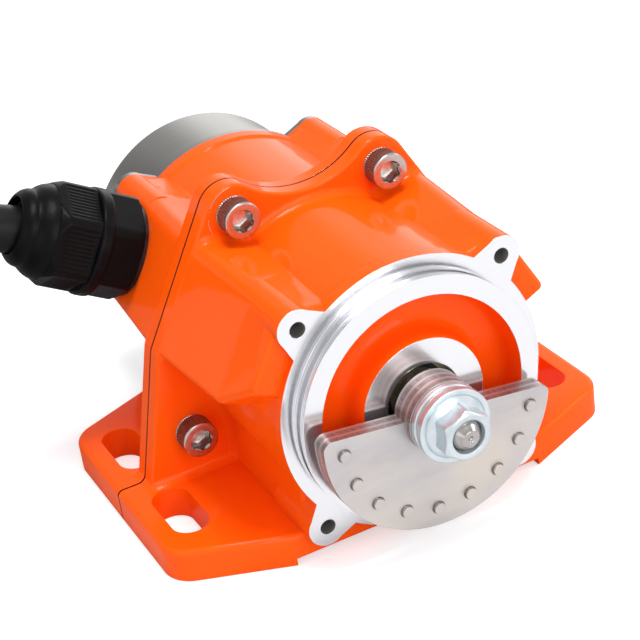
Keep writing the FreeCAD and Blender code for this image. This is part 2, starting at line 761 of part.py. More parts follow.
def adjust_weight():
    """Outer plate, free to turn on the shaft until the nut clamps it, with pressed-out index pins."""
    plate = weight_outline(PLATE_JOIN)
    plate = plate.cut(rod(JOURNAL_R + FIT, PLATE_JOIN - 1, PLATE_FACE + 1))
    first = -90 - PIN_STEP * (PIN_COUNT - 1) / 2
    for i in range(PIN_COUNT):
        angle = math.radians(first + PIN_STEP * i)
        y = PIN_CIRCLE_R * math.cos(angle)
        z = SHAFT_HEIGHT + PIN_CIRCLE_R * math.sin(angle)
        plate = plate.cut(rod(PIN_R, PLATE_JOIN - 1, PLATE_JOIN + PIN_HEIGHT, y, z))
        plate = plate.fuse(rod(PIN_R, PLATE_FACE - 0.5, PLATE_FACE + PIN_HEIGHT, y, z))
    plate.rotate(AXIS, ALONG, WEIGHT_TURN)
    return plate.removeSplitter()


def spacer():
    return tube(HUB_R, THREAD_R + 0.3, PLATE_FACE + FACE_GAP, PLATE_FACE + FACE_GAP + SPACER_THICK)


def washer():
    start = PLATE_FACE + FACE_GAP + SPACER_THICK
    return tube(WASHER_R, THREAD_R + 0.3, start, start + WASHER_THICK)


def nut():
    """Hexagon nut with a conical flange."""
    end = NUT_SEAT + NUT_HEIGHT
    flange = turned([(NUT_SEAT, 0), (NUT_SEAT, NUT_FLANGE_R), (NUT_SEAT + NUT_FLANGE, NUT_FLANGE_R),
                     (NUT_SEAT + 2 * NUT_FLANGE, NUT_HEX / 2 - 0.5), (NUT_SEAT + 2 * NUT_FLANGE, 0)])
    corner = NUT_HEX / math.sqrt(3)
    limit = turned([(NUT_SEAT, 0), (NUT_SEAT, corner + 1), (end - 1, corner + 0.4),
                    (end, NUT_HEX / 2 - 0.3), (end, 0)])
    body = hexagon(NUT_HEX, NUT_SEAT, end).common(limit).fuse(flange)
    mouth = turned([(end - 0.6, 0), (end - 0.6, THREAD_R), (end + 0.1, THREAD_R + 0.7), (end + 0.1, 0)])
    return body.cut([rod(THREAD_R + FIT, NUT_SEAT - 1, end + 1), mouth]).removeSplitter()


def sleeve():
    """Distance sleeve between a bearing's inner ring and the fixed plate."""
    return tube(SLEEVE_R, JOURNAL_R, SHELL_LENGTH, WEIGHT_START)


def race_groove(mid):
    return Part.makeTorus((INNER_RING_R + OUTER_RING_R) / 2, BALL_R + FIT, V(mid, 0, SHAFT_HEIGHT), ALONG)


def bearing_pieces():
    """Rings, balls and outer seal of the front bearing."""
    end = SHELL_LENGTH
    start = end - BEARING_WIDTH
    mid = (start + end) / 2
    outer = tube(BEARING_OUTER_R, OUTER_RING_R, start, end).cut(race_groove(mid))
    inner = tube(INNER_RING_R, JOURNAL_R, start, end).cut(race_groove(mid))
    balls = []
    for i in range(BALL_COUNT):
        angle = math.radians(360 * i / BALL_COUNT)
        radius = (INNER_RING_R + OUTER_RING_R) / 2
        centre = V(mid, radius * math.cos(angle), SHAFT_HEIGHT + radius * math.sin(angle))
        balls.append(Part.makeSphere(BALL_R, centre))
    seal = tube(OUTER_RING_R, INNER_RING_R + 0.1, end - SEAL_THICK, end - 0.1)
    return outer, inner, Part.makeCompound(balls), seal


def wave_spring():
    """Preload ring behind the rear bearing."""
    return to_rear(tube(BEARING_OUTER_R - 0.3, OUTER_RING_R + 0.4, SHELL_LENGTH, SHELL_LENGTH + SPRING_GAP))


def gland_body():
    """Threaded body with a hexagon and a collar under the nut."""
    low = GLAND_RING
    top = GLAND_BODY
    collar_end = top + GLAND_COLLAR
    cone = lathe([(0, low), (GLAND_HEX / 2 + 0.6, low), (GLAND_HEX / 2 + 2.4, low + 2),
                  (GLAND_HEX / 2 + 2.4, top), (0, top)])
    body = upright_hexagon(GLAND_HEX, low, top).common(cone)
    collar = lathe([(0, top), (GLAND_COLLAR_R - 0.8, top), (GLAND_COLLAR_R, top + 0.8),
                    (GLAND_COLLAR_R, collar_end - 0.8), (GLAND_COLLAR_R - 0.8, collar_end),
                    (GLAND_THREAD_R, collar_end), (GLAND_THREAD_R, collar_end + 9), (0, collar_end + 9)])
    stem = Part.makeCylinder(GLAND_THREAD_R, GLAND_THREAD + low, V(0, 0, -GLAND_THREAD))
    body = body.multiFuse([collar, stem]).cut(
        Part.makeCylinder(GLAND_MOUTH_R, 80, V(0, 0, -GLAND_THREAD - 1)))
    return on_gland(body.removeSplitter())


def gland_ring():
    """Flat sealing ring under the gland body."""
    ring = Part.makeCylinder(GLAND_HEX / 2 - 0.4, GLAND_RING)
    return on_gland(ring.cut(Part.makeCylinder(GLAND_THREAD_R + FIT, GLAND_RING + 2, V(0, 0, -1))))


def gland_nut():
    """Domed clamping nut with a hexagonal skirt."""
    low = GLAND_BODY + GLAND_COLLAR
    high = low + GLAND_NUT
    waist = low + GLAND_NUT_HEX_LENGTH
    corner = GLAND_HEX / math.sqrt(3)
    limit = lathe([(0, low), (corner - 0.6, low), (corner - 0.4, waist - 3), (corner - 1.6, waist), (0, waist)])
    skirt = upright_hexagon(GLAND_HEX, low, waist).common(limit)
    dome = lathe([(0, waist - 1), (GLAND_HEX / 2 - 0.3, waist - 1), (GLAND_HEX / 2 - 0.3, waist + 1),
                  (GLAND_HEX / 2 - 0.9, waist + 3.2), (GLAND_HEX / 2 - 2.2, waist + 5.4),
                  (GLAND_HEX / 2 - 4.2, high - 0.7), (GLAND_MOUTH_R + 0.8, high), (0, high)])
    bore = lathe([(0, low - 1), (GLAND_THREAD_R + FIT, low - 1), (GLAND_THREAD_R + FIT, low + 9.5),
                  (GLAND_MOUTH_R, low + 13), (GLAND_MOUTH_R, high + 1), (0, high + 1)])
    return on_gland(skirt.fuse(dome).cut(bore).removeSplitter())


def gland_seal():
    """Rubber bush squeezed onto the cable."""
    low = GLAND_BODY + GLAND_COLLAR
    bush = Part.makeCylinder(GLAND_MOUTH_R - FIT, GLAND_NUT - 2.4, V(0, 0, low))
    return on_gland(bush.cut(Part.makeCylinder(CABLE_R, GLAND_NUT + 2, V(0, 0, low - 1))))


def cable_route():
    """Points of the free cable, from inside the gland nut to the start of its coil."""
    base = gland_base()
    way = gland_direction()
    mouth = base + way * (GLAND_BODY + GLAND_COLLAR + GLAND_NUT)
    points = [mouth - way * GLAND_NUT, mouth + way * CABLE_LEAD]
    for step in CABLE_STEPS:
        points.append(mouth + V(*step))
    for point in points[-2:]:
        point.z = CABLE_R
    return points


def coil_arcs(offset, first_turn):
    """Half-turn arcs of one flat turn of the coil, offset from the cable's middle line."""
    start = cable_route()[-1]
    pitch = 2 * CABLE_R
    edges = []
    for half in (0, 1):
        radius = COIL_START_R - first_turn * pitch - half * CABLE_R + offset
        centre = start + V(COIL_START_R + half * CABLE_R, 0, -CABLE_R)
        side = 1 - 2 * half
        arc = Part.Arc(centre - V(side * radius, 0, 0), centre - V(0, side * radius, 0),
                       centre + V(side * radius, 0, 0))
        edges.append(arc.toShape())
    first = edges[0].Curve.Center - V(COIL_START_R - first_turn * pitch + offset, 0, 0)
    last = edges[1].Curve.Center - V(COIL_START_R - first_turn * pitch - CABLE_R + offset, 0, 0)
    edges.append(Part.LineSegment(last, first).toShape())
    return Part.Wire(Part.__sortEdges__(edges))


def cable_coil():
    """Outer form of the cable's flat two-turn coil, stepped where the cable comes in and ends."""
    outer = Part.Face(coil_arcs(CABLE_R, 0))
    inner = Part.Face(coil_arcs(-CABLE_R, COIL_TURNS - 1))
    return outer.cut(inner).extrude(V(0, 0, 2 * CABLE_R))


def cable_cores():
    """Bared ends of the four cores beyond the end of the sheath."""
    start = cable_route()[-1]
    end = start + V(COIL_TURNS * 2 * CABLE_R, 0, 0)
    wires = []
    for i in range(CORE_COUNT):
        angle = math.radians(90 * i + 45)
        offset = V(math.cos(angle), 0, math.sin(angle)) * CORE_R * 1.5
        lean = V(math.sin(math.radians(CORE_LEAN)) + 0.2 * math.cos(angle), -1, 0).normalize()
        wires.append(Part.makeCylinder(CORE_R, CORE_LENGTH, end + offset - V(0, 0.5, 0), lean))
    return Part.makeCompound(wires)


def cable_run():
    """Round cable along its route: straight runs joined by tangent arcs."""
    points = cable_route()
    edges = []
    last = points[0]
    length = 0.0
    for i in range(1, len(points) - 1):
        back = points[i - 1] - points[i]
        ahead = points[i + 1] - points[i]
        turn = math.pi - back.getAngle(ahead)
        reach = 0.45 * min(back.Length, ahead.Length)
        radius = reach / math.tan(turn / 2)
        back.normalize()
        ahead.normalize()
        first = points[i] + back * reach
        final = points[i] + ahead * reach
        centre = points[i] + (back + ahead).normalize() * math.hypot(radius, reach)
        middle = centre + (points[i] - centre).normalize() * radius
        print("cable bend %d: radius %.1f mm, turn %.1f degrees" % (i, radius, math.degrees(turn)))
        edges.append(Part.LineSegment(last, first).toShape())
        edges.append(Part.Arc(first, middle, final).toShape())
        length += (first - last).Length + radius * turn
        last = final
    edges.append(Part.LineSegment(last, points[-1]).toShape())
    length += (points[-1] - last).Length
    ring = Part.Wire(Part.makeCircle(CABLE_R - 0.02, points[0], points[1] - points[0]))
    pipe = Part.Wire(edges).makePipeShell([ring], True, True)
    print("cable mouth", [tuple(round(c, 2) for c in point) for point in points])
    print("cable run: length %.1f mm, volume ratio %.4f" % (
        length, pipe.Volume / (math.pi * (CABLE_R - 0.02) ** 2 * length)))
    return pipe


def main():
    os.makedirs("parts", exist_ok=True)
    outer, inner, balls, seal = bearing_pieces()
    pieces = {
        "front_housing": front_housing(),
        "rear_housing": rear_housing(),
        "housing_gasket": housing_gasket(),
        "housing_screws": housing_screws(),
        "rear_cover": rear_cover(),
        "rear_cover_screws": rear_cover_screws(),
        "rear_cover_oring": rear_cover_oring(),
        "stator_core": stator_core(),
        "stator_windings": stator_windings(),
        "rotor_core": rotor_core(),
        "shaft": shaft(),
        "front_bearing_outer_ring": outer,
        "front_bearing_inner_ring": inner,
        "front_bearing_balls": balls,
        "front_bearing_seal": seal,
        "rear_bearing_outer_ring": to_rear(outer),
        "rear_bearing_inner_ring": to_rear(inner),
        "rear_bearing_balls": to_rear(balls),
        "rear_bearing_seal": to_rear(seal),
        "bearing_wave_spring": wave_spring(),
        "front_sleeve": sleeve(),
        "front_fixed_weight": fixed_weight(),
        "front_adjust_weight": adjust_weight(),
        "front_spacer": spacer(),
        "front_washer": washer(),
        "front_nut": nut(),
        "rear_sleeve": to_rear(sleeve()),
        "rear_fixed_weight": to_rear(fixed_weight()),
        "rear_adjust_weight": to_rear(adjust_weight()),
        "rear_spacer": to_rear(spacer()),
        "rear_washer": to_rear(washer()),
        "rear_nut": to_rear(nut()),
        "gland_body": gland_body(),
        "gland_ring": gland_ring(),
        "gland_nut": gland_nut(),
        "gland_seal": gland_seal(),
        "cable_run": cable_run(),
        "cable_coil": cable_coil(),
        "cable_cores": cable_cores(),
    }
    for name, shape in pieces.items():
        solids = shape.Solids
        box = shape.BoundBox
        print("%-26s solids %d valid %s volume %.1f x %.1f..%.1f z %.1f..%.1f" % (
            name, len(solids), shape.isValid(), shape.Volume, box.XMin, box.XMax, box.ZMin, box.ZMax))
        shape.exportStep("parts/%s.step" % name)


main()
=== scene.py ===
"""Vibration motor with two adjustable half-disc weights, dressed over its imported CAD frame.

All lengths are metres, in the frame of the CAD: the shaft runs along X and the
mounting surface is at z = 0. Each section dresses one piece or one group of them.
"""
import math

import bmesh
import bpy
import numpy as np
from mathutils import Matrix, Vector


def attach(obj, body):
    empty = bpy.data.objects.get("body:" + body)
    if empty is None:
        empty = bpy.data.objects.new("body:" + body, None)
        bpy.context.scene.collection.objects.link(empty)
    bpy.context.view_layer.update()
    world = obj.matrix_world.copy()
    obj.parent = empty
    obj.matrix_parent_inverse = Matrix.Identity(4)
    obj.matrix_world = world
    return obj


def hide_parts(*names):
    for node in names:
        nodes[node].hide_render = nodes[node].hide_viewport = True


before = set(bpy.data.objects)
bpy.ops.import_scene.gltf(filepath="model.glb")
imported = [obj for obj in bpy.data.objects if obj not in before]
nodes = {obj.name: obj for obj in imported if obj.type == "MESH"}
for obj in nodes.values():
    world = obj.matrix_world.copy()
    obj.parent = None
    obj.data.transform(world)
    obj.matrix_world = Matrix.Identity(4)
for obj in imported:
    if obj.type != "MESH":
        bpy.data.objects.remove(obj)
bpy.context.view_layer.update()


# Camera
# It stands where the photograph was taken from: above the front end, a little
# towards the cable side, through a long lens that is turned by 8.5 degrees.
CAMERA_EYE = Vector((0.3864, -0.1665, 0.2647))
CAMERA_BACK = Vector((0.8082, -0.3484, 0.4749))
CAMERA_LENS = 98.15
CAMERA_ROLL = math.radians(-8.5)

camera = bpy.data.objects.new("camera", bpy.data.cameras.new("camera"))
bpy.context.scene.collection.objects.link(camera)
camera.data.lens = CAMERA_LENS
camera.data.clip_start = 0.01
camera.data.clip_end = 20.0
back = CAMERA_BACK.normalized()
right = Vector((0, 0, 1)).cross(back).normalized()
up = back.cross(right)
level = Matrix((right, up, back)).transposed()
camera.matrix_world = Matrix.Translation(CAMERA_EYE) @ (level @ Matrix.Rotation(CAMERA_ROLL, 3, "Z")).to_4x4()
bpy.context.scene.camera = camera
bpy.context.scene.view_settings.view_transform = "Standard"


# Floor, world and lights
# A white sweep under soft boxes, as a small studio has it. The floor keeps the
# shadows and the orange glow of the feet, and metal mirrors the sweep's white.
FLOOR_SIZE = 12.0
FLOOR_LEVEL = -0.0002
FLOOR_GREY = "D8D8D8"
FLOOR_LIFT = 0.52
FLOOR_BEHIND = "909090"
MIRRORED_LIFT = 0.04
BLOOM = 2.0
BLOOM_WAY = (-0.77, 0.61, 0.17)
WORLD_LIGHT = 0.74
CEILING = 0.72
CARD_DEPTH = 0.8
BLOOM_EDGE = 0.82
DARK_CARDS = ((math.radians(-156), math.radians(13)), (math.radians(148), math.radians(8)))


def linear(code):
    """Linear colour with alpha from an sRGB hex code, by the sRGB curve."""
    parts = np.array([int(code[i:i + 2], 16) for i in (0, 2, 4)]) / 255
    curve = np.where(parts <= 0.04045, parts / 12.92, ((parts + 0.055) / 1.055) ** 2.4)
    return (*(float(c) for c in curve), 1.0)


def add(tree, kind, sockets=None, **settings):
    """Add a shader node; sockets maps an input to a value, to an output, or to a node for its first output."""
    made = tree.nodes.new("ShaderNode" + kind)
    for key, value in settings.items():
        setattr(made, key, value)
    for key, value in (sockets or {}).items():
        if isinstance(value, bpy.types.Node):
            tree.links.new(value.outputs[0], made.inputs[key])
        elif isinstance(value, bpy.types.NodeSocket):
            tree.links.new(value, made.inputs[key])
        else:
            made.inputs[key].default_value = value
    return made


def new_material(name):
    """New material, its node tree, and the place of each point in the frame, which all finishes start from."""
    material = bpy.data.materials.new(name)
    material.use_nodes = True
    tree = material.node_tree
    tree.nodes.clear()
    return material, tree, add(tree, "TexCoord").outputs["Object"]


def seen_directly(tree):
    """One for camera, glossy and transmission rays, nought for the rays that light things."""
    path = add(tree, "LightPath")
    mirror = add(tree, "Math", {0: path.outputs["Is Glossy Ray"], 1: path.outputs["Is Transmission Ray"]},
                 operation="MAXIMUM")
    return add(tree, "Math", {0: path.outputs["Is Camera Ray"], 1: mirror}, operation="MAXIMUM")


def new_object(name, mesh, material=None):
    """Object at the origin for a finished mesh, with its material."""
    made = bpy.data.objects.new(name, mesh)
    bpy.context.scene.collection.objects.link(made)
    if material is not None:
        mesh.materials.append(material)
    return made


white_sweep, tree, place = new_material("white_sweep")
# Mirrored in the motor, the sweep is brightest before its front end and falls off behind it.
ahead = add(tree, "SeparateXYZ", {0: place})
fall = add(tree, "MapRange", {"Value": ahead.outputs["X"], "From Min": -0.05, "From Max": 0.055})
ray = add(tree, "LightPath")
mirrored = add(tree, "Mix", {0: fall, 6: linear(FLOOR_BEHIND), 7: linear(FLOOR_GREY)}, data_type="RGBA")
tone = add(tree, "Mix", {0: ray.outputs["Is Glossy Ray"], 6: linear(FLOOR_GREY), 7: mirrored.outputs[2]},
           data_type="RGBA")
matt = add(tree, "BsdfDiffuse", {"Color": tone.outputs[2]})
front_lift = add(tree, "Math", {0: fall, 1: MIRRORED_LIFT}, operation="MULTIPLY")
lift = add(tree, "MapRange", {"Value": ray.outputs["Is Camera Ray"], "To Min": front_lift,
                              "To Max": FLOOR_LIFT})
glow = add(tree, "Emission", {"Color": (1, 1, 1, 1), "Strength": lift})
both = add(tree, "AddShader", {0: matt, 1: glow})
kept = add(tree, "MixShader", {0: seen_directly(tree), 1: matt, 2: both})
add(tree, "OutputMaterial", {"Surface": kept})

half = FLOOR_SIZE / 2
floor_mesh = bpy.data.meshes.new("floor")
corners = [(x * half, y * half, FLOOR_LEVEL) for x, y in ((-1, -1), (1, -1), (1, 1), (-1, 1))]
floor_mesh.from_pydata(corners, [], [(0, 1, 2, 3)])
new_object("floor", floor_mesh, white_sweep)

world = bpy.data.worlds.new("studio")
bpy.context.scene.world = world
world.use_nodes = True
tree = world.node_tree
tree.nodes.clear()
way = add(tree, "TexCoord").outputs["Generated"]
height = add(tree, "SeparateXYZ", {0: way})
ceiling = add(tree, "MapRange", {"Value": height.outputs["Z"], "From Min": 0.05, "From Max": 0.42,
                                 "To Min": 1.0, "To Max": CEILING}, interpolation_type="SMOOTHSTEP")
# Two dark cards behind the motor, in reflections alone, draw the grey fans in the turned metal.
bearing = add(tree, "Math", {0: height.outputs["Y"], 1: height.outputs["X"]}, operation="ARCTAN2")
ray = add(tree, "LightPath")
dimmed = ceiling
for card, width in DARK_CARDS:
    aside = add(tree, "Math", {0: bearing, 1: card}, operation="SUBTRACT")
    away = add(tree, "Math", {0: aside}, operation="ABSOLUTE")
    dark = add(tree, "MapRange", {"Value": away, "From Min": width, "From Max": width / 3,
                                  "To Max": CARD_DEPTH}, interpolation_type="SMOOTHSTEP")
    raised = add(tree, "MapRange", {"Value": height.outputs["Z"], "From Min": 0.08, "From Max": 0.2})
    for limit in (raised, ray.outputs["Is Glossy Ray"]):
        dark = add(tree, "Math", {0: dark, 1: limit}, operation="MULTIPLY")
    left = add(tree, "Math", {0: 1.0, 1: dark}, operation="SUBTRACT")
    dimmed = add(tree, "Math", {0: dimmed, 1: left}, operation="MULTIPLY")
# A bright patch low behind the far shoulder gives the enamel its pale bloom, also in reflections alone.
toward = add(tree, "VectorMath", {0: way, 1: BLOOM_WAY}, operation="DOT_PRODUCT")
patch = add(tree, "MapRange", {"Value": toward.outputs["Value"], "From Min": BLOOM_EDGE, "From Max": 1.0,
                               "To Max": BLOOM}, interpolation_type="SMOOTHSTEP")
bloom = add(tree, "Math", {0: patch, 1: ray.outputs["Is Glossy Ray"], 2: dimmed}, operation="MULTIPLY_ADD")
shown = add(tree, "Background", {"Color": (1, 1, 1, 1), "Strength": bloom})
lighting = add(tree, "Background", {"Color": linear("F4F6FA"), "Strength": WORLD_LIGHT})
kept = add(tree, "MixShader", {0: seen_directly(tree), 1: lighting, 2: shown})
add(tree, "OutputWorld", {"Surface": kept})

# Name, place, target, side of the square, watts
SOFT_BOXES = [
    ("soft_box_top", (0.10, 0.05, 1.05), (0.0, 0.0, 0.04), 0.32, 6.8),
    ("soft_box_cable_side", (0.50, -1.00, 0.50), (0.0, 0.0, 0.04), 0.50, 1.2),
    ("soft_box_far_side", (0.35, 1.05, 0.60), (0.0, 0.0, 0.04), 0.40, 2.0),
    ("soft_box_front", (1.20, 0.10, 0.58), (0.05, 0.0, 0.04), 0.80, 6.5),
]
for name, spot, target, size, watts in SOFT_BOXES:
    lamp = bpy.data.lights.new(name, "AREA")
    lamp.shape = "SQUARE"
    lamp.size = size
    lamp.energy = watts
    box = bpy.data.objects.new(name, lamp)
    bpy.context.scene.collection.objects.link(box)
    box.location = spot
    box.rotation_mode = "QUATERNION"
    box.rotation_quaternion = (Vector(spot) - Vector(target)).to_track_quat("Z", "Y")


# Supply cable
# Black rubber-sheathed lead of 13 mm, clamped in the gland. It rises from the
# gland, sags to the floor and lies there in a flat coil of two turns.
CABLE_DIAMETER = 0.013
CABLE_POINTS = [
    (-0.03438, -0.05135, 0.06688),
    (-0.03618, -0.07611, 0.08089),
    (-0.04117, -0.11876, 0.08575),
    (-0.05267, -0.15616, 0.06645),
    (-0.06717, -0.17556, 0.02795),
    (-0.07367, -0.20996, 0.00650),
    (-0.07367, -0.25096, 0.00650),
]
COIL_RADIUS = 0.074
COIL_STEPS = 16
COIL_TURNS = 2

rubber, tree, place = new_material("chloroprene_rubber_sheath")
# Extruded rubber: soft black with a faint bloom and a fine grain.
bloom = add(tree, "TexNoise", {"Vector": place, "Scale": 160.0, "Detail": 5.0})
shade = add(tree, "Mix", {0: bloom, 6: linear("0C0C0E"), 7: linear("161618")}, data_type="RGBA")
rough = add(tree, "MapRange", {"Value": bloom, "To Min": 0.34, "To Max": 0.52})
grain = add(tree, "TexNoise", {"Vector": place, "Scale": 900.0, "Detail": 2.0})
bump = add(tree, "Bump", {"Height": grain, "Strength": 0.12, "Distance": 0.0004})
skin = add(tree, "BsdfPrincipled", {"Base Color": shade.outputs[2], "Roughness": rough,
                                    "Specular IOR Level": 0.16, "Normal": bump})
add(tree, "OutputMaterial", {"Surface": skin})

# Sixteen steps round; each half turn is 6.5 mm smaller than the last and its centre lies 6.5 mm aside.
turn = 2 * np.pi / COIL_STEPS * np.arange(1, COIL_STEPS * COIL_TURNS + 1)
half_turn = np.floor((turn - 1e-6) / np.pi)
reach = COIL_RADIUS - CABLE_DIAMETER / 2 * half_turn
reach[:-1] /= math.cos(math.pi / COIL_STEPS)
start = CABLE_POINTS[-1]
coil_x = start[0] + COIL_RADIUS + CABLE_DIAMETER / 2 * (half_turn % 2) - reach * np.cos(turn)
coil_y = start[1] - reach * np.sin(turn)
coil_points = [(float(x), float(y), CABLE_DIAMETER / 2) for x, y in zip(coil_x, coil_y)]

cable_line = bpy.data.curves.new("supply_cable", "CURVE")
cable_line.dimensions = "3D"
cable_line.bevel_depth = CABLE_DIAMETER / 2
cable_line.bevel_resolution = 10
cable_line.use_fill_caps = True
spline = cable_line.splines.new("NURBS")
spline.points.add(len(CABLE_POINTS) + len(coil_points) - 1)
for point, place in zip(spline.points, CABLE_POINTS + coil_points):
    point.co = (*place, 1.0)
spline.order_u = 3
spline.use_endpoint_u = True
spline.resolution_u = 12
supply_cable = new_object("supply_cable", cable_line, rubber)
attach(supply_cable, "stator")
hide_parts("cable_run", "cable_coil")


# Cable cores
# Four stripped cores at the cable's bare end: brown, black and grey, and the
# earth in green with a yellow stripe, each with its tip of bare copper strands.
CORES_START = (-0.04767, -0.25146, 0.0065)
CORES_LEAN = math.sin(math.radians(16.0))
CORES_LENGTH = 0.025
COPPER_LENGTH = 0.008
STRIPE_LEVEL = 0.0018


def dress(node, material):
    """Give a CAD node's own mesh one material."""
    slots = nodes[node].data.materials
    slots.clear()
    slots.append(material)


cores, tree, place = new_material("pvc_core_insulation")
# Smooth extruded PVC: the side of the cable's centre line that a point lies on tells its core.
arm = add(tree, "VectorMath", {0: place, 1: CORES_START}, operation="SUBTRACT")
split = add(tree, "SeparateXYZ", {0: arm})
aside = add(tree, "Math", {0: split.outputs["Y"], 1: CORES_LEAN, 2: split.outputs["X"]},
            operation="MULTIPLY_ADD")
right_side = add(tree, "Math", {0: aside, 1: 0.0}, operation="GREATER_THAN")
upper_side = add(tree, "Math", {0: split.outputs["Z"], 1: 0.0}, operation="GREATER_THAN")
stripe = add(tree, "Math", {0: split.outputs["Z"], 1: STRIPE_LEVEL}, operation="GREATER_THAN")
earth = add(tree, "Mix", {0: stripe, 6: linear("2E8A3C"), 7: linear("E8D22A")}, data_type="RGBA")
top_pair = add(tree, "Mix", {0: right_side, 6: linear("6B3A1E"), 7: earth.outputs[2]}, data_type="RGBA")
low_pair = add(tree, "Mix", {0: right_side, 6: linear("1A1A1C"), 7: linear("7C7F82")}, data_type="RGBA")
tone = add(tree, "Mix", {0: upper_side, 6: low_pair.outputs[2], 7: top_pair.outputs[2]}, data_type="RGBA")
sheath = add(tree, "BsdfPrincipled", {"Base Color": tone.outputs[2], "Roughness": 0.38})
strands = add(tree, "TexWave", {"Vector": place, "Scale": 900.0, "Distortion": 2.0}, bands_direction="X")
copper_tone = add(tree, "Mix", {0: strands, 6: linear("8A4A24"), 7: linear("E09A62")}, data_type="RGBA")
copper = add(tree, "BsdfPrincipled", {"Base Color": copper_tone.outputs[2], "Metallic": 1.0, "Roughness": 0.3})
bared = add(tree, "Math", {0: split.outputs["Y"], 1: COPPER_LENGTH - CORES_LENGTH}, operation="LESS_THAN")
skin = add(tree, "MixShader", {0: bared, 1: sheath, 2: copper})
add(tree, "OutputMaterial", {"Surface": skin})
dress("cable_cores", cores)


# Housing shells
# Two die-cast aluminium shells, bolted at the flange. They are sprayed with
# gloss orange enamel, and the faces that fit something are turned bright.
SHAFT_HEIGHT = 0.0392
SHAFT_CENTRE = (0.0, 0.0, SHAFT_HEIGHT)
LUG_OFFSET = 0.0403 * math.sqrt(0.5)
RING_FACE = 0.052
SPIGOT_END = 0.0572
SPIGOT_WALL_R = 0.0292
BEARING_BORE_R = 0.0132
STATOR_BORE_R = 0.0313
STATOR_BORE_END = 0.049
LUG_THREAD_R = 0.0027
LUG_THREAD_FROM = 0.037
LUG_PITCH = 0.0008
NEAR = 1e-4
PAINT = "FF5B09"
PAINT_DEEP = "FE5506"
WORN_ARC_CENTRE = (0.0, -0.0206, 0.0784)
WORN_ARC_RADIUS = 0.0081
RINGS_PER_METRE = 11000.0
MARKS_FROM = 0.0525
MARKS_APART = 0.0007


def merged_copy(node, name, sharp=30.0):
    """Copy of a CAD node's mesh, its loose triangles joined, smooth but for edges over the angle."""
    mesh = nodes[node].data.copy()
    mesh.name = name
    mesh.materials.clear()
    shape = bmesh.new()
    shape.from_mesh(mesh)
    bmesh.ops.remove_doubles(shape, verts=shape.verts, dist=2e-6)
    bmesh.ops.dissolve_degenerate(shape, dist=1e-6, edges=shape.edges)
    shape.to_mesh(mesh)
    shape.free()
    old = mesh.attributes.get("custom_normal")
    if old is not None:
        mesh.attributes.remove(old)
    mesh.shade_smooth()
    mesh.set_sharp_from_angle(angle=math.radians(sharp))
    made = new_object(name, mesh)
    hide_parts(node)
    return made


def even_normals(piece):
    """Weighted normals, so that large flat faces stay flat beside small round edges."""
    modifier = piece.modifiers.new("even_normals", "WEIGHTED_NORMAL")
    modifier.keep_sharp = True
    modifier.weight = 100


def face_table(mesh):
    """Centres and directions of all faces, as two arrays."""
    centre = np.empty(len(mesh.polygons) * 3, np.float32)
    normal = np.empty(len(mesh.polygons) * 3, np.float32)
    mesh.polygons.foreach_get("center", centre)
    mesh.polygons.foreach_get("normal", normal)
    return centre.reshape(-1, 3), normal.reshape(-1, 3)


def polar_uv(mesh):
    """UV map "turned": u is the angle round the shaft in turns, v ten times the sum of the radius and x."""
    loops = len(mesh.loops)
    corner = np.empty(loops, np.int32)
    mesh.loops.foreach_get("vertex_index", corner)
    points = np.empty(len(mesh.vertices) * 3, np.float32)
    mesh.vertices.foreach_get("co", points)
    points = points.reshape(-1, 3)[corner]
    totals = np.empty(len(mesh.polygons), np.int32)
    mesh.polygons.foreach_get("loop_total", totals)
    owner = np.repeat(np.arange(len(mesh.polygons)), totals)
    centre = face_table(mesh)[0][owner]
    middle = np.arctan2(centre[:, 2] - SHAFT_HEIGHT, centre[:, 1])
    angle = np.arctan2(points[:, 2] - SHAFT_HEIGHT, points[:, 1])
    angle = middle + (angle - middle + np.pi) % (2 * np.pi) - np.pi
    reach = np.hypot(points[:, 1], points[:, 2] - SHAFT_HEIGHT) + points[:, 0]
    layer = mesh.uv_layers.new(name="turned")
    pairs = np.stack([angle / (2 * np.pi), reach * 10], axis=1)
    layer.data.foreach_set("uv", pairs.astype(np.float32).ravel())


def from_axis(tree, place, centre):
    """Arm from the centre to each point, and its span across the shaft: the root of y² plus z²."""
    arm = add(tree, "VectorMath", {0: place, 1: centre}, operation="SUBTRACT")
    flat = add(tree, "VectorMath", {0: arm, 1: (0.0, 1.0, 1.0)}, operation="MULTIPLY")
    span = add(tree, "VectorMath", {0: flat}, operation="LENGTH")
    return arm, span.outputs["Value"]


enamel, tree, place = new_material("gloss_orange_enamel")
# Sprayed gloss enamel over a casting: even colour, a clear wet shine and a faint orange peel of 1.5 mm.
cloud = add(tree, "TexNoise", {"Vector": place, "Scale": 45.0, "Detail": 3.0})
tone = add(tree, "Mix", {0: cloud, 6: linear(PAINT_DEEP), 7: linear(PAINT)}, data_type="RGBA")
peel = add(tree, "TexNoise", {"Vector": place, "Scale": 620.0, "Detail": 1.0})
swell = add(tree, "TexNoise", {"Vector": place, "Scale": 120.0, "Detail": 2.0})
edge = add(tree, "Bevel", {"Radius": 0.0006}, samples=4)
wave = add(tree, "Bump", {"Height": swell, "Strength": 0.10, "Distance": 0.0006, "Normal": edge})
bump = add(tree, "Bump", {"Height": peel, "Strength": 0.10, "Distance": 0.0002, "Normal": wave})
haze = add(tree, "MapRange", {"Value": cloud, "To Min": 0.30, "To Max": 0.42})
paint = add(tree, "BsdfPrincipled", {"Base Color": tone.outputs[2], "Roughness": haze,
                                     "Specular IOR Level": 0.02, "Coat Weight": 0.24, "Coat Roughness": 0.07,
                                     "Normal": bump, "Coat Normal": bump})
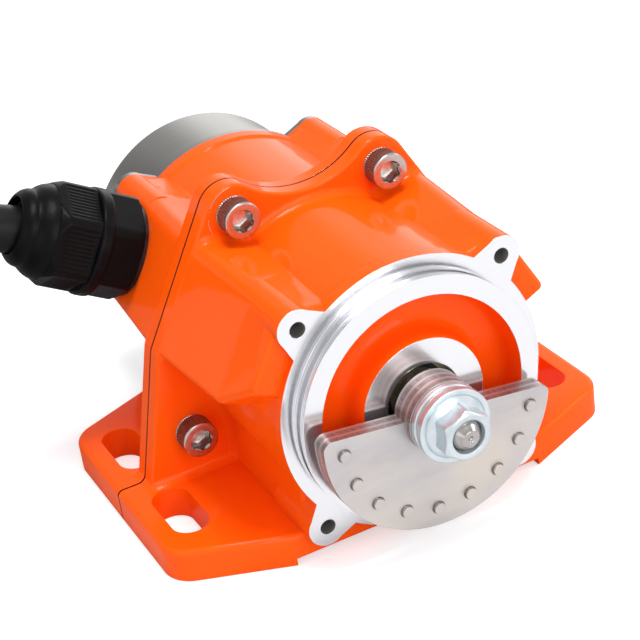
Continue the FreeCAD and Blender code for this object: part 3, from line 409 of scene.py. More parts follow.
# A line of bare metal where the flange's edge has rubbed, round the upper lobe on the cable side.
arm, span = from_axis(tree, place, WORN_ARC_CENTRE)
away = add(tree, "Math", {0: span, 1: WORN_ARC_RADIUS}, operation="SUBTRACT")
close = add(tree, "Math", {0: away}, operation="ABSOLUTE")
line = add(tree, "MapRange", {"Value": close, "From Min": 0.00013, "From Max": 0.00006})
part = add(tree, "SeparateXYZ", {0: arm})
outward = add(tree, "MapRange", {"Value": part.outputs["Y"], "From Min": -0.0005, "From Max": -0.0025})
upward = add(tree, "MapRange", {"Value": part.outputs["Z"], "From Min": -0.0035, "From Max": -0.0015})
ahead = add(tree, "MapRange", {"Value": part.outputs["X"], "From Min": 0.0040, "From Max": 0.0044})
chips = add(tree, "TexNoise", {"Vector": place, "Scale": 1500.0, "Detail": 3.0})
flake = add(tree, "MapRange", {"Value": chips, "From Min": 0.40, "From Max": 0.48})
worn = line
for limit in (outward, upward, ahead, flake):
    worn = add(tree, "Math", {0: worn, 1: limit}, operation="MULTIPLY")
bare = add(tree, "BsdfPrincipled", {"Base Color": linear("C9C6C2"), "Metallic": 1.0, "Roughness": 0.35})
scarred = add(tree, "MixShader", {0: worn, 1: paint, 2: bare})
# The paint ends just short of the parting gasket. The band by the gap is darkened, partly as dirt settled
# there and partly as painted shade in the gap.
depth = add(tree, "SeparateXYZ", {0: place})
near = add(tree, "Math", {0: depth.outputs["X"]}, operation="ABSOLUTE")
gap = add(tree, "MapRange", {"Value": near, "From Min": 0.00036, "From Max": 0.00028})
dirt_and_shade = add(tree, "BsdfDiffuse", {"Color": linear("2A0E08")})
skin = add(tree, "MixShader", {0: gap, 1: scarred, 2: dirt_and_shade})
add(tree, "OutputMaterial", {"Surface": skin})

turned_aluminium, tree, place = new_material("turned_aluminium")
# Die-cast aluminium faced on a lathe: bright, with rings from a feed of 0.09 mm, and highlights that fan out
# across them.
arm, span = from_axis(tree, place, SHAFT_CENTRE)
axis = add(tree, "SeparateXYZ", {0: arm})
step = add(tree, "Math", {0: span, 1: axis.outputs["X"]}, operation="ADD")
feed = add(tree, "TexNoise", {"W": step, "Scale": RINGS_PER_METRE, "Detail": 3.0}, noise_dimensions="1D")
sheen = add(tree, "Mix", {0: feed, 6: linear("E2E2E6"), 7: linear("FAFAFC")}, data_type="RGBA")
# The tool left deeper marks on the spigot's side; they are drawn 0.7 mm apart, clear of the end faces.
along_axis = add(tree, "Math", {0: axis.outputs["X"]}, operation="ABSOLUTE")
mark = add(tree, "Math", {0: along_axis, 1: MARKS_FROM}, operation="SUBTRACT")
swing = add(tree, "Math", {0: mark, 1: MARKS_APART / 2}, operation="PINGPONG")
scored = add(tree, "MapRange", {"Value": swing, "From Min": 0.00010, "From Max": 0.00003})
tone = add(tree, "Mix", {0: scored, 6: sheen.outputs[2], 7: linear("6E6E76")}, data_type="RGBA")
rough = add(tree, "MapRange", {"Value": feed, "To Min": 0.15, "To Max": 0.22})
edge = add(tree, "Bevel", {"Radius": 0.0002}, samples=4)
along = add(tree, "Tangent", direction_type="UV_MAP", uv_map="turned")
metal = add(tree, "BsdfPrincipled", {"Base Color": tone.outputs[2], "Metallic": 1.0, "Roughness": rough,
                                     "Anisotropic": 0.35, "Anisotropic Rotation": 0.25, "Tangent": along,
                                     "Normal": edge})
add(tree, "OutputMaterial", {"Surface": metal})

tapped_aluminium, tree, place = new_material("tapped_aluminium")
# Thread cut in the casting, 0.8 mm a turn, drawn as colour: a sine along the axis paints its roots near black
# as painted shade, and its crests light.
axis = add(tree, "SeparateXYZ", {0: place})
turns = add(tree, "Math", {0: axis.outputs["X"], 1: 2 * math.pi / LUG_PITCH}, operation="MULTIPLY")
ridge = add(tree, "Math", {0: turns}, operation="SINE")
crest = add(tree, "MapRange", {"Value": ridge, "From Min": -1.0, "From Max": 1.0})
tone = add(tree, "Mix", {0: crest, 6: linear("080706"), 7: linear("C4BEBA")}, data_type="RGBA")
bump = add(tree, "Bump", {"Height": crest, "Strength": 0.3, "Distance": 0.0004})
metal = add(tree, "BsdfPrincipled", {"Base Color": tone.outputs[2], "Metallic": 0.3, "Roughness": 0.30,
                                     "Normal": bump})
add(tree, "OutputMaterial", {"Surface": metal})

for node, side in (("front_housing", 1), ("rear_housing", -1)):
    shell = merged_copy(node, node + "_casting", sharp=26.0)
    mesh = shell.data
    for finish in (enamel, turned_aluminium, tapped_aluminium):
        mesh.materials.append(finish)
    centre, normal = face_table(mesh)
    x = centre[:, 0] * side
    radius = np.hypot(centre[:, 1], centre[:, 2] - SHAFT_HEIGHT)
    facing = normal[:, 0] * side
    ring = (x > RING_FACE - NEAR) & (x < RING_FACE + NEAR) & (facing > 0.9)
    spigot = (x > RING_FACE + NEAR) & (radius > SPIGOT_WALL_R)
    end_faces = (x > SPIGOT_END - NEAR) & (facing > 0.9)
    bores = (radius < BEARING_BORE_R) | ((x < STATOR_BORE_END) & (radius < STATOR_BORE_R))
    joint = (x < 5e-4) & (np.abs(facing) > 0.9)
    lug_y = np.abs(np.abs(centre[:, 1]) - LUG_OFFSET)
    lug_z = np.abs(np.abs(centre[:, 2] - SHAFT_HEIGHT) - LUG_OFFSET)
    in_lug = (x > LUG_THREAD_FROM) & (x < RING_FACE - NEAR)
    thread = in_lug & (np.hypot(lug_y, lug_z) < LUG_THREAD_R)
    kind = np.zeros(len(x), np.int32)
    kind[ring | spigot | end_faces | bores | joint] = 1
    kind[thread] = 2
    mesh.polygons.foreach_set("material_index", kind)
    polar_uv(mesh)
    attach(shell, "stator")


# Recess fillets
# The casting is rounded where the floor of its end recess meets the boss and
# the outer wall. They are part of the shell, and painted with it.
RECESS_FLOOR = 0.0492
RECESS_MOUTH = 0.0582
BOSS_WALL = ((RECESS_FLOOR, 0.0181), (RECESS_MOUTH, 0.0168))
OUTER_WALL = ((RECESS_FLOOR, 0.0276), (RECESS_MOUTH, 0.0285))
BOSS_FILLET = 0.0034
OUTER_FILLET = 0.0026
RUN_ON = 0.0015
INSIDE = 0.00004
LAP = 0.0004
FILLET_COLUMNS = 144


def rounded(profile, size, steps=4):
    """Profile whose inner corners are quadratic curves, from size before each corner to size after it."""
    points = np.array(profile, float)
    before = points[1:-1] - points[:-2]
    after = points[2:] - points[1:-1]
    before_length = np.linalg.norm(before, axis=1, keepdims=True)
    after_length = np.linalg.norm(after, axis=1, keepdims=True)
    first = points[1:-1] - before / before_length * np.minimum(size, 0.45 * before_length)
    last = points[1:-1] + after / after_length * np.minimum(size, 0.45 * after_length)
    t = np.linspace(0, 1, steps)[None, :, None]
    curve = (1 - t) ** 2 * first[:, None] + 2 * t * (1 - t) * points[1:-1][:, None] + t ** 2 * last[:, None]
    return np.vstack([points[:1], curve.reshape(-1, 2), points[-1:]])


def angles(count):
    """Angles of a whole turn in equal steps."""
    return 2 * np.pi * np.arange(count) / count


def ringed(along, radius, count, centre=(0.0, SHAFT_HEIGHT)):
    """Grid of points: x is along, (y, z) the centre plus radius times (cos, sin) of the column's angle."""
    along = np.asarray(along, float).reshape(-1, 1)
    radius = np.broadcast_to(np.asarray(radius, float).reshape(len(along), -1), (len(along), count))
    angle = angles(count)
    return np.stack([np.broadcast_to(along, radius.shape), centre[0] + radius * np.cos(angle),
                     centre[1] + radius * np.sin(angle)], axis=-1)


def skinned(name, grids, loop=False):
    """Closed mesh over grids of points whose columns run round; loop joins the last row to the first."""
    shape = bmesh.new()
    for grid in grids:
        rows, columns = grid.shape[:2]
        index = np.arange(rows * columns).reshape(rows, columns)
        if loop:
            index = np.vstack([index, index[:1]])
        near, far = index[:-1], index[1:]
        quads = np.stack([near, np.roll(near, -1, 1), np.roll(far, -1, 1), far], axis=-1).reshape(-1, 4)
        sheet = bpy.data.meshes.new(name)
        sheet.from_pydata(grid.reshape(-1, 3).tolist(), [], quads.tolist())
        shape.from_mesh(sheet)
        bpy.data.meshes.remove(sheet)
    bmesh.ops.remove_doubles(shape, verts=shape.verts, dist=1e-7)
    bmesh.ops.recalc_face_normals(shape, faces=shape.faces)
    mesh = bpy.data.meshes.new(name)
    shape.to_mesh(mesh)
    shape.free()
    mesh.shade_smooth()
    mesh.set_sharp_from_angle(angle=math.radians(35))
    return mesh


def fillet_section(wall, size, outward):
    """Section of a fillet from the floor up a sloping wall, whose ends run on a little inside the metal."""
    corner, top = np.array(wall)
    slope = (top - corner)[1] / (top - corner)[0]
    start = corner - np.array([0.0, outward * 2.3 * size])
    arc = rounded([start, corner, top], size, 9)[1:-1]
    floor_end = arc[:1] + (-INSIDE, -outward * RUN_ON)
    wall_end = arc[-1:] + (RUN_ON, outward * INSIDE + slope * RUN_ON)
    return np.vstack([floor_end, arc, wall_end, arc[-1:] + (RUN_ON, outward * LAP),
                      corner[None] + (-LAP, outward * LAP), arc[:1] + (-LAP, -outward * RUN_ON)])


for end, side in (("front", 1), ("rear", -1)):
    rings = []
    for wall, size, outward in ((BOSS_WALL, BOSS_FILLET, -1), (OUTER_WALL, OUTER_FILLET, 1)):
        section = fillet_section(wall, size, outward)
        rings.append(ringed(side * section[:, 0], section[:, 1:], FILLET_COLUMNS))
    fillets = new_object(end + "_recess_fillets", skinned(end + "_recess_fillets", rings, loop=True), enamel)
    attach(fillets, "stator")


# Parting gasket
# Oiled paper, punched to the outline of the flanges and clamped between them
# by the screws. It shows from outside as a thin dark line.
gasket_paper, tree, place = new_material("oiled_gasket_paper")
fibre = add(tree, "TexNoise", {"Vector": place, "Scale": 500.0, "Detail": 4.0})
tone = add(tree, "Mix", {0: fibre, 6: linear("100605"), 7: linear("240E09")}, data_type="RGBA")
skin = add(tree, "BsdfPrincipled", {"Base Color": tone.outputs[2], "Roughness": 0.85})
add(tree, "OutputMaterial", {"Surface": skin})
dress("housing_gasket", gasket_paper)


# Flange and cover screws
# Stainless socket screws: M6 with tall knurled heads in the flange, and M5 with
# low domed heads in the rear cover. The heads are cold headed, the sockets pressed.
SCREW_COLUMNS = 288
SCREW_TEETH = 48
SHANK_R = 0.00245
FLANGE_SEAT = 0.005
FLANGE_KEY = 0.005
FLANGE_KNURL = 0.00024
FLANGE_SHANK = 0.0096
COVER_SEAT = -0.0538
COVER_KEY = 0.003
COVER_SHANK = 0.010


def hexagon(across, angle, round_by=0.0):
    """Radius of a hexagon: half its width over the cosine from the nearest flat, cut short at the corners."""
    from_flat = (angle + np.pi / 6) % (np.pi / 3) - np.pi / 6
    return np.minimum(across / 2 / np.cos(from_flat), across / math.sqrt(3) - round_by)


def screw_grid(seat, side, centre, head, knurl, key, length):
    """Socket screw turned from a profile: the knurl is a cosine on its side, and the socket a hexagon."""
    top = head[-1][0]
    outer = rounded([(-length, 0), (-length, SHANK_R - 0.0004), (-length + 0.0004, SHANK_R), (0.0, SHANK_R)]
                    + head + [(top, key / 2 + 0.00055)], 0.00035)
    angle = angles(SCREW_COLUMNS)
    side_rows = (outer[:, 0] > 0.0003) & (outer[:, 0] < top - 0.0009)
    teeth = knurl * (0.5 - 0.5 * np.cos(SCREW_TEETH * angle)) ** 0.7
    body = outer[:, 1:] - np.where(side_rows[:, None], teeth[None, :], 0.0)
    socket = hexagon(key, angle)
    deep = top - 0.55 * (top - head[0][0]) - 0.0004
    wall_x = np.array([top - 0.0003, top - 0.0008, deep])
    wall_r = np.stack([np.minimum(socket + 0.0003, key / 2 + 0.0005), socket, socket - 0.00002])
    floor_x = np.array([deep - 0.0001, deep - 0.0006])
    floor_r = np.stack([np.full(SCREW_COLUMNS, key * 0.36), np.zeros(SCREW_COLUMNS)])
    along = np.concatenate([outer[:, 0], wall_x, floor_x])
    return ringed(seat + side * along, np.vstack([body, wall_r, floor_r]), SCREW_COLUMNS, centre)


stainless, tree, place = new_material("cold_headed_stainless")
# A2 stainless, tumbled bright: warm grey with fine scuffs.
scuff = add(tree, "TexNoise", {"Vector": place, "Scale": 900.0, "Detail": 4.0})
tone = add(tree, "Mix", {0: scuff, 6: linear("A9A29E"), 7: linear("CEC7C3")}, data_type="RGBA")
rough = add(tree, "MapRange", {"Value": scuff, "To Min": 0.16, "To Max": 0.26})
bump = add(tree, "Bump", {"Height": scuff, "Strength": 0.03, "Distance": 0.0002})
metal = add(tree, "BsdfPrincipled", {"Base Color": tone.outputs[2], "Metallic": 1.0, "Roughness": rough,
                                     "Normal": bump})
add(tree, "OutputMaterial", {"Surface": metal})

knurled, tree, place = new_material("knurled_stainless")
# The same steel where the knurl is rolled in: matt, mottled by a fine noise, and darker as painted shade
# between its teeth.
dirt_and_shade = add(tree, "TexNoise", {"Vector": place, "Scale": 1200.0, "Detail": 3.0})
tone = add(tree, "Mix", {0: dirt_and_shade, 6: linear("554A46"), 7: linear("A1958E")}, data_type="RGBA")
metal = add(tree, "BsdfPrincipled", {"Base Color": tone.outputs[2], "Metallic": 0.9, "Roughness": 0.36})
add(tree, "OutputMaterial", {"Surface": metal})


def knurl_slot(mesh, spots, radius):
    """Give the second material to faces that look sideways, further than the radius from their own screw."""
    centre, normal = face_table(mesh)
    reach = np.min([np.hypot(centre[:, 1] - y, centre[:, 2] - z) for y, z in spots], axis=0)
    kind = ((np.abs(normal[:, 0]) < 0.5) & (reach > radius)).astype(np.int32)
    mesh.polygons.foreach_set("material_index", kind)


flange_spots = [(0.0215, 0.079), (-0.0215, 0.079), (0.0435, 0.0219), (-0.0435, 0.0219)]
cap_head = [(0.0, 0.0049), (0.0002, 0.0050), (0.0006, 0.0050), (0.0022, 0.0050), (0.0038, 0.0050),
            (0.0049, 0.0050), (0.0059, 0.0050), (0.0060, 0.0044)]
grids = [screw_grid(FLANGE_SEAT, 1, spot, cap_head, FLANGE_KNURL, FLANGE_KEY, FLANGE_SHANK)
         for spot in flange_spots]
flange_screws = new_object("flange_screws", skinned("flange_screws", grids), stainless)
flange_screws.data.materials.append(knurled)
knurl_slot(flange_screws.data, flange_spots, 0.0045)
even_normals(flange_screws)
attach(flange_screws, "stator")
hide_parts("housing_screws")

cover_spots = [(sy * LUG_OFFSET, SHAFT_HEIGHT + sz * LUG_OFFSET) for sy in (1, -1) for sz in (1, -1)]
domed_head = [(0.0, 0.0045), (0.0003, 0.0046), (0.0010, 0.0044), (0.0018, 0.0038), (0.0025, 0.0028)]
grids = [screw_grid(COVER_SEAT, -1, spot, domed_head, 0.0, COVER_KEY, COVER_SHANK) for spot in cover_spots]
cover_screws = new_object("cover_screws", skinned("cover_screws", grids), stainless)
even_normals(cover_screws)
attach(cover_screws, "stator")
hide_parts("rear_cover_screws")


# Stator and rotor
# A stack of varnished electrical steel with copper end turns round it, and a
# cage rotor with cast aluminium rings. They are closed in by the shells.


def grained(name, dark, light, rough, grain, metallic=0.0, bump=0.1, stretch=(1.0, 1.0, 1.0), detail=3.0):
    """Finish of two tones mixed by a noise; rough is the roughness at both ends, grain its waves a metre."""
    material, tree, place = new_material(name)
    drawn = add(tree, "Mapping", {"Vector": place, "Scale": stretch})
    noise = add(tree, "TexNoise", {"Vector": drawn, "Scale": grain, "Detail": detail})
    tone = add(tree, "Mix", {0: noise, 6: linear(dark), 7: linear(light)}, data_type="RGBA")
    spread = add(tree, "MapRange", {"Value": noise, "From Min": 0.25, "From Max": 0.75, "To Min": rough[0],
                                    "To Max": rough[1]})
    relief = add(tree, "Bump", {"Height": noise, "Strength": bump, "Distance": 0.0002})
    skin = add(tree, "BsdfPrincipled", {"Base Color": tone.outputs[2], "Metallic": metallic,
                                        "Roughness": spread, "Normal": relief})
    add(tree, "OutputMaterial", {"Surface": skin})
    return material


# Sheets of 0.5 mm show as lines across the shaft, so the noise is drawn fine along X only.
laminations = grained("varnished_laminations", "3C3E44", "74767C", (0.4, 0.6), 90.0, 0.7, 0.3,
                      (22.0, 0.4, 0.4))
windings = grained("varnished_copper_turns", "6A2408", "C0601E", (0.2, 0.4), 120.0, 0.6, 0.4, (1.0, 6.0, 6.0))
dress("stator_core", laminations)
dress("rotor_core", laminations)
dress("stator_windings", windings)


# Bearings
# Deep groove ball bearings of ground chromium steel, with black nitrile seals.
# Only the front one shows, deep in the bore behind the weights.
bearing_steel = grained("ground_bearing_steel", "8E8672", "C9C2AC", (0.10, 0.20), 400.0, 1.0, 0.03)
nitrile = grained("nitrile_rubber", "0C0C0D", "1C1C1E", (0.25, 0.45), 700.0, 0.0, 0.12)
SEAL_RIM_R = 0.0086

shielded, tree, place = new_material("nitrile_lip_in_steel_rim")
# The seal's outer rim is bright steel and its lip black rubber, told apart by the radius.
arm, span = from_axis(tree, place, SHAFT_CENTRE)
rim = add(tree, "MapRange", {"Value": span, "From Min": SEAL_RIM_R - 0.0001, "From Max": SEAL_RIM_R + 0.0001})
cloud = add(tree, "TexNoise", {"Vector": place, "Scale": 300.0, "Detail": 3.0})
shade = add(tree, "Mix", {0: cloud, 6: linear("8F8560"), 7: linear("E2D8B4")}, data_type="RGBA")
steel = add(tree, "BsdfPrincipled", {"Base Color": shade.outputs[2], "Metallic": 0.4, "Roughness": 0.30})
lip = add(tree, "BsdfPrincipled", {"Base Color": linear("0E0E0F"), "Roughness": 0.35})
skin = add(tree, "MixShader", {0: rim, 1: lip, 2: steel})
add(tree, "OutputMaterial", {"Surface": skin})

for end in ("front", "rear"):
    for part in ("outer_ring", "inner_ring", "balls"):
        dress(end + "_bearing_" + part, bearing_steel)
    dress(end + "_bearing_seal", shielded)
dress("bearing_wave_spring", bearing_steel)
dress("rear_cover_oring", nitrile)


# Shaft
# Turned and ground steel, threaded M8 by 1.25 at both ends, with a chamfer and
# the dimple of the lathe's centre in each end face.
THREAD_START = 0.0645
THREAD_END = 0.07945
THREAD_PITCH = 0.00125
THREAD_R = 0.0040
THREAD_DEPTH = 0.0006
TIP_R = 0.0021
TIP_CHAMFER = 0.0022
SHAFT_COLUMNS = 96

half_profile = rounded([(0.0, 0.008), (0.028, 0.008), (0.028, 0.0065), (0.044, 0.0065), (0.044, 0.005),
                        (THREAD_START, 0.005), (THREAD_START, 0.0039)], 0.0002)
run = np.arange(THREAD_START + 0.0003, THREAD_END - 0.00005, THREAD_PITCH / 12)
tip = rounded([(THREAD_END - 0.00005, TIP_R), (THREAD_END, TIP_R - 0.0001), (THREAD_END, 0.0008),
               (THREAD_END - 0.0004, 0.0005), (THREAD_END - 0.0008, 0.0)], 0.0002)


def shaft_half(side):
    """Half of the shaft: the thread is a triangle wave, cut flat, of x over the pitch less the turns round."""
    angle = angles(SHAFT_COLUMNS)[None, :]
    phase = (run[:, None] / THREAD_PITCH - side * angle / (2 * np.pi)) % 1.0
    crest = np.minimum(1.0, 1.25 * (1.0 - np.abs(2.0 * phase - 1.0)))
    chamfer = TIP_R + (THREAD_R - TIP_R) * np.clip((THREAD_END - run) / TIP_CHAMFER, 0.0, 1.0)[:, None]
    cut = np.minimum(THREAD_R - THREAD_DEPTH * (1.0 - crest), chamfer)
    plain = np.broadcast_to(half_profile[:, 1:], (len(half_profile), SHAFT_COLUMNS))
    last = np.broadcast_to(tip[:, 1:], (len(tip), SHAFT_COLUMNS))
    along = np.concatenate([half_profile[:, 0], run, tip[:, 0]])
    return side * along, np.vstack([plain, cut, last])


front_x, front_r = shaft_half(1)
rear_x, rear_r = shaft_half(-1)
along = np.concatenate([rear_x[::-1], front_x[1:]])
radius = np.vstack([rear_r[::-1], front_r[1:]])
ground_steel = grained("ground_shaft_steel", "928D8A", "C8C3C0", (0.20, 0.30), 260.0, 1.0, 0.02,
                       (4.0, 1.0, 1.0))
turned_shaft = skinned("motor_shaft", [ringed(along, radius, SHAFT_COLUMNS)])
motor_shaft = new_object("motor_shaft", turned_shaft, ground_steel)
even_normals(motor_shaft)
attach(motor_shaft, "rotor")
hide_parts("shaft")


# Eccentric weights
# Half discs stamped from 2.5 mm steel plate. The outer one has nine half-sheared
# pins, and both have a round hub and a cut edge with a burnished and a torn band.
PLATE = 0.0025
FIRST_PLATE = 0.0595
WEIGHT_TURN = math.radians(-7.0)
PIN_STEP = math.radians(20.0)
PIN_CIRCLE_R = 0.0267
PIN_R = 0.0015

pressed_steel, tree, place = new_material("stamped_steel_plate")
# Hot rolled plate, pickled and oiled: warm grey with rolling streaks, roughly satin; the cut edges are
# bright for a third of the thickness and torn, with upright lines, for the rest.
streak = add(tree, "Mapping", {"Vector": place, "Rotation": (0.25, 0.0, 0.0), "Scale": (1.0, 0.22, 1.6)})
rolled = add(tree, "TexNoise", {"Vector": streak, "Scale": 160.0, "Detail": 6.0, "Roughness": 0.65})
stain = add(tree, "TexNoise", {"Vector": place, "Scale": 38.0, "Detail": 3.0})
fine = add(tree, "TexNoise", {"Vector": place, "Scale": 1500.0, "Detail": 2.0})
face = add(tree, "Mix", {0: rolled, 6: linear("B0ABAC"), 7: linear("D8D3D4")}, data_type="RGBA")
warm = add(tree, "MapRange", {"Value": stain, "From Min": 0.40, "From Max": 0.70, "To Max": 0.75})
flat_tone = add(tree, "Mix", {0: warm, 6: face.outputs[2], 7: linear("D9CFC2")}, data_type="RGBA")
shape = add(tree, "NewGeometry")
facing = add(tree, "SeparateXYZ", {0: shape.outputs["Normal"]})
side_on = add(tree, "Math", {0: facing.outputs["X"]}, operation="ABSOLUTE")
edge = add(tree, "MapRange", {"Value": side_on, "From Min": 0.75, "From Max": 0.45})
depth = add(tree, "SeparateXYZ", {0: place})
layer = add(tree, "Math", {0: depth.outputs["X"]}, operation="ABSOLUTE")
within = add(tree, "Math", {0: layer, 1: FIRST_PLATE}, operation="SUBTRACT")
over = add(tree, "Math", {0: within, 1: PLATE}, operation="MODULO")
lines = add(tree, "Mapping", {"Vector": place, "Scale": (0.15, 1.0, 1.0)})
torn = add(tree, "TexNoise", {"Vector": lines, "Scale": 1100.0, "Detail": 4.0})
wander = add(tree, "Math", {0: torn, 1: 0.0006, 2: over}, operation="MULTIPLY_ADD")
band = add(tree, "MapRange", {"Value": wander, "From Min": 0.0010, "From Max": 0.0013})
cut_tone = add(tree, "Mix", {0: torn, 6: linear("5E5251"), 7: linear("B6A7A4")}, data_type="RGBA")
edge_tone = add(tree, "Mix", {0: band, 6: linear("B4A9A7"), 7: cut_tone.outputs[2]}, data_type="RGBA")
# Below the shaft, a darker ring round the foot of each pin is painted shade where the pin meets the plate.
arm = add(tree, "VectorMath", {0: place, 1: SHAFT_CENTRE}, operation="SUBTRACT")
turned = add(tree, "Mapping", {"Vector": arm, "Rotation": (-WEIGHT_TURN, 0.0, 0.0)})
split = add(tree, "SeparateXYZ", {0: turned})
around = add(tree, "Math", {0: split.outputs["Y"], 1: split.outputs["Z"]}, operation="ARCTAN2")
shifted = add(tree, "Math", {0: around, 1: PIN_STEP / 2}, operation="ADD")
snapped = add(tree, "Math", {0: shifted, 1: PIN_STEP}, operation="SNAP")
flat_arm = add(tree, "VectorMath", {0: turned, 1: (0.0, 1.0, 1.0)}, operation="MULTIPLY")
sine = add(tree, "Math", {0: snapped}, operation="SINE")
cosine = add(tree, "Math", {0: snapped}, operation="COSINE")
pin_y = add(tree, "Math", {0: sine, 1: PIN_CIRCLE_R}, operation="MULTIPLY")
pin_z = add(tree, "Math", {0: cosine, 1: PIN_CIRCLE_R}, operation="MULTIPLY")
pin_spot = add(tree, "CombineXYZ", {"Y": pin_y, "Z": pin_z})
from_pin = add(tree, "VectorMath", {0: flat_arm, 1: pin_spot}, operation="DISTANCE")
inner = add(tree, "MapRange", {"Value": from_pin.outputs["Value"], "From Min": PIN_R - 0.00005,
                               "From Max": PIN_R + 0.00005})
outer = add(tree, "MapRange", {"Value": from_pin.outputs["Value"], "From Min": PIN_R + 0.00045,
                               "From Max": PIN_R + 0.00010})
low = add(tree, "MapRange", {"Value": split.outputs["Z"], "From Min": 0.001, "From Max": -0.001})
pin_foot_shade = inner
for limit in (outer, low):
    pin_foot_shade = add(tree, "Math", {0: pin_foot_shade, 1: limit}, operation="MULTIPLY")
pin_foot_shaded = add(tree, "Mix", {0: pin_foot_shade, 6: flat_tone.outputs[2], 7: linear("5E5552")}, data_type="RGBA")
tone = add(tree, "Mix", {0: edge, 6: pin_foot_shaded.outputs[2], 7: edge_tone.outputs[2]}, data_type="RGBA")
rough = add(tree, "MapRange", {"Value": rolled, "From Min": 0.3, "From Max": 0.7, "To Min": 0.36,
                               "To Max": 0.52})
relief = add(tree, "Math", {0: rolled, 1: fine}, operation="ADD")
deep = add(tree, "Math", {0: edge, 1: torn}, operation="MULTIPLY")
all_relief = add(tree, "Math", {0: deep, 1: 1.5, 2: relief}, operation="MULTIPLY_ADD")
rim = add(tree, "Bevel", {"Radius": 0.0002}, samples=4)
bump = add(tree, "Bump", {"Height": all_relief, "Strength": 0.10, "Distance": 0.0002, "Normal": rim})
metal = add(tree, "BsdfPrincipled", {"Base Color": tone.outputs[2], "Metallic": 0.9, "Roughness": rough,
                                     "Normal": bump})
add(tree, "OutputMaterial", {"Surface": metal})

for node, body in (("front_fixed_weight", "rotor"), ("front_adjust_weight", "front_adjust"),
                   ("rear_fixed_weight", "rotor"), ("rear_adjust_weight", "rear_adjust"),
                   ("front_spacer", "rotor"), ("rear_spacer", "rotor")):
    plate = merged_copy(node, node + "_plate")
    plate.data.materials.append(pressed_steel)
    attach(plate, body)
for end in ("front", "rear"):
    dress(end + "_sleeve", ground_steel)


# Washer and clamping nut
# Bright zinc plated steel: a flat washer with its stamped edge rounded, and an
# M8 hexagon nut with a wide flange, chamfered at its top.
zinc, tree, place = new_material("bright_zinc_plate")
# Blue passivated zinc: a cool, soft silver with a faint cloud and fine scuffs.
cloud = add(tree, "TexNoise", {"Vector": place, "Scale": 260.0, "Detail": 3.0})
scuff = add(tree, "TexNoise", {"Vector": place, "Scale": 1400.0, "Detail": 3.0})
tone = add(tree, "Mix", {0: cloud, 6: linear("C0CAD0"), 7: linear("E2E9EC")}, data_type="RGBA")
rough = add(tree, "MapRange", {"Value": scuff, "To Min": 0.32, "To Max": 0.44})
bump = add(tree, "Bump", {"Height": scuff, "Strength": 0.04, "Distance": 0.0002})
metal = add(tree, "BsdfPrincipled", {"Base Color": tone.outputs[2], "Metallic": 1.0, "Roughness": rough,
                                     "Normal": bump})
add(tree, "OutputMaterial", {"Surface": metal})

WASHER_SEAT = 0.067
NUT_SEAT = 0.06905
NUT_HEIGHT = 0.00925
NUT_HEX = 0.0122
NUT_TURN = math.radians(-5.0)
NUT_FLANGE_R = 0.0098
NUT_COLUMNS = 192


def nut_grid(side):
    """Flanged nut: a rim with a groove, then the larger of a cone and the hexagon under its top chamfer."""
    angle = angles(NUT_COLUMNS)
    rim = NUT_FLANGE_R
    foot = rounded([(0.0, 0.0042), (0.0, rim - 0.0012), (0.0008, rim - 0.0010), (0.0010, rim), (0.0031, rim),
                    (0.0032, rim - 0.0014), (0.0028, rim - 0.0017), (0.0031, rim - 0.0020)], 0.0003)
    rise = np.linspace(0.0032, 0.0048, 25)
    cone = (rim - 0.0020) - (rise - 0.0032) * 1.5
    upper = np.append(np.linspace(0.0052, NUT_HEIGHT - 0.0014, 5), NUT_HEIGHT - np.linspace(0.0012, 0.0, 7))
    limit = np.interp(upper, [0.0, NUT_HEIGHT - 0.0012, NUT_HEIGHT], [0.0076, 0.0072, 0.0058])
    six = hexagon(NUT_HEX, angle - NUT_TURN, 0.0002)
    hexed = np.minimum(six[None, :], limit[:, None])
    skirt = np.maximum(cone[:, None], six[None, :])
    mouth = np.array([(NUT_HEIGHT, 0.0047), (NUT_HEIGHT - 0.0001, 0.0045), (NUT_HEIGHT - 0.0009, 0.0042),
                      (NUT_HEIGHT - 0.0022, 0.00405)])
    along = np.concatenate([foot[:, 0], rise, upper, mouth[:, 0]])
    radius = np.vstack([np.broadcast_to(foot[:, 1:], (len(foot), NUT_COLUMNS)), skirt, hexed,
                        np.broadcast_to(mouth[:, 1:], (len(mouth), NUT_COLUMNS))])
    return ringed(side * (NUT_SEAT + along), radius, NUT_COLUMNS)


def washer_grid(side):
    """Flat ring from a rounded rectangle."""
    section = rounded([(0.0, 0.0050), (0.0, 0.0096), (0.002, 0.0096), (0.002, 0.0050)], 0.0007, 6)
    section = np.vstack([section, [(0.0015, 0.0043), (0.0005, 0.0043)]])
    return ringed(side * (WASHER_SEAT + section[:, 0]), section[:, 1:], 96)


for end, side in (("front", 1), ("rear", -1)):
    for word, grid, node in (("clamp_nut", nut_grid(side), "_nut"),
                             ("clamp_washer", washer_grid(side), "_washer")):
        piece = new_object(end + "_" + word, skinned(end + "_" + word, [grid], loop=True), zinc)
        even_normals(piece)
        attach(piece, "rotor")
        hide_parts(end + node)


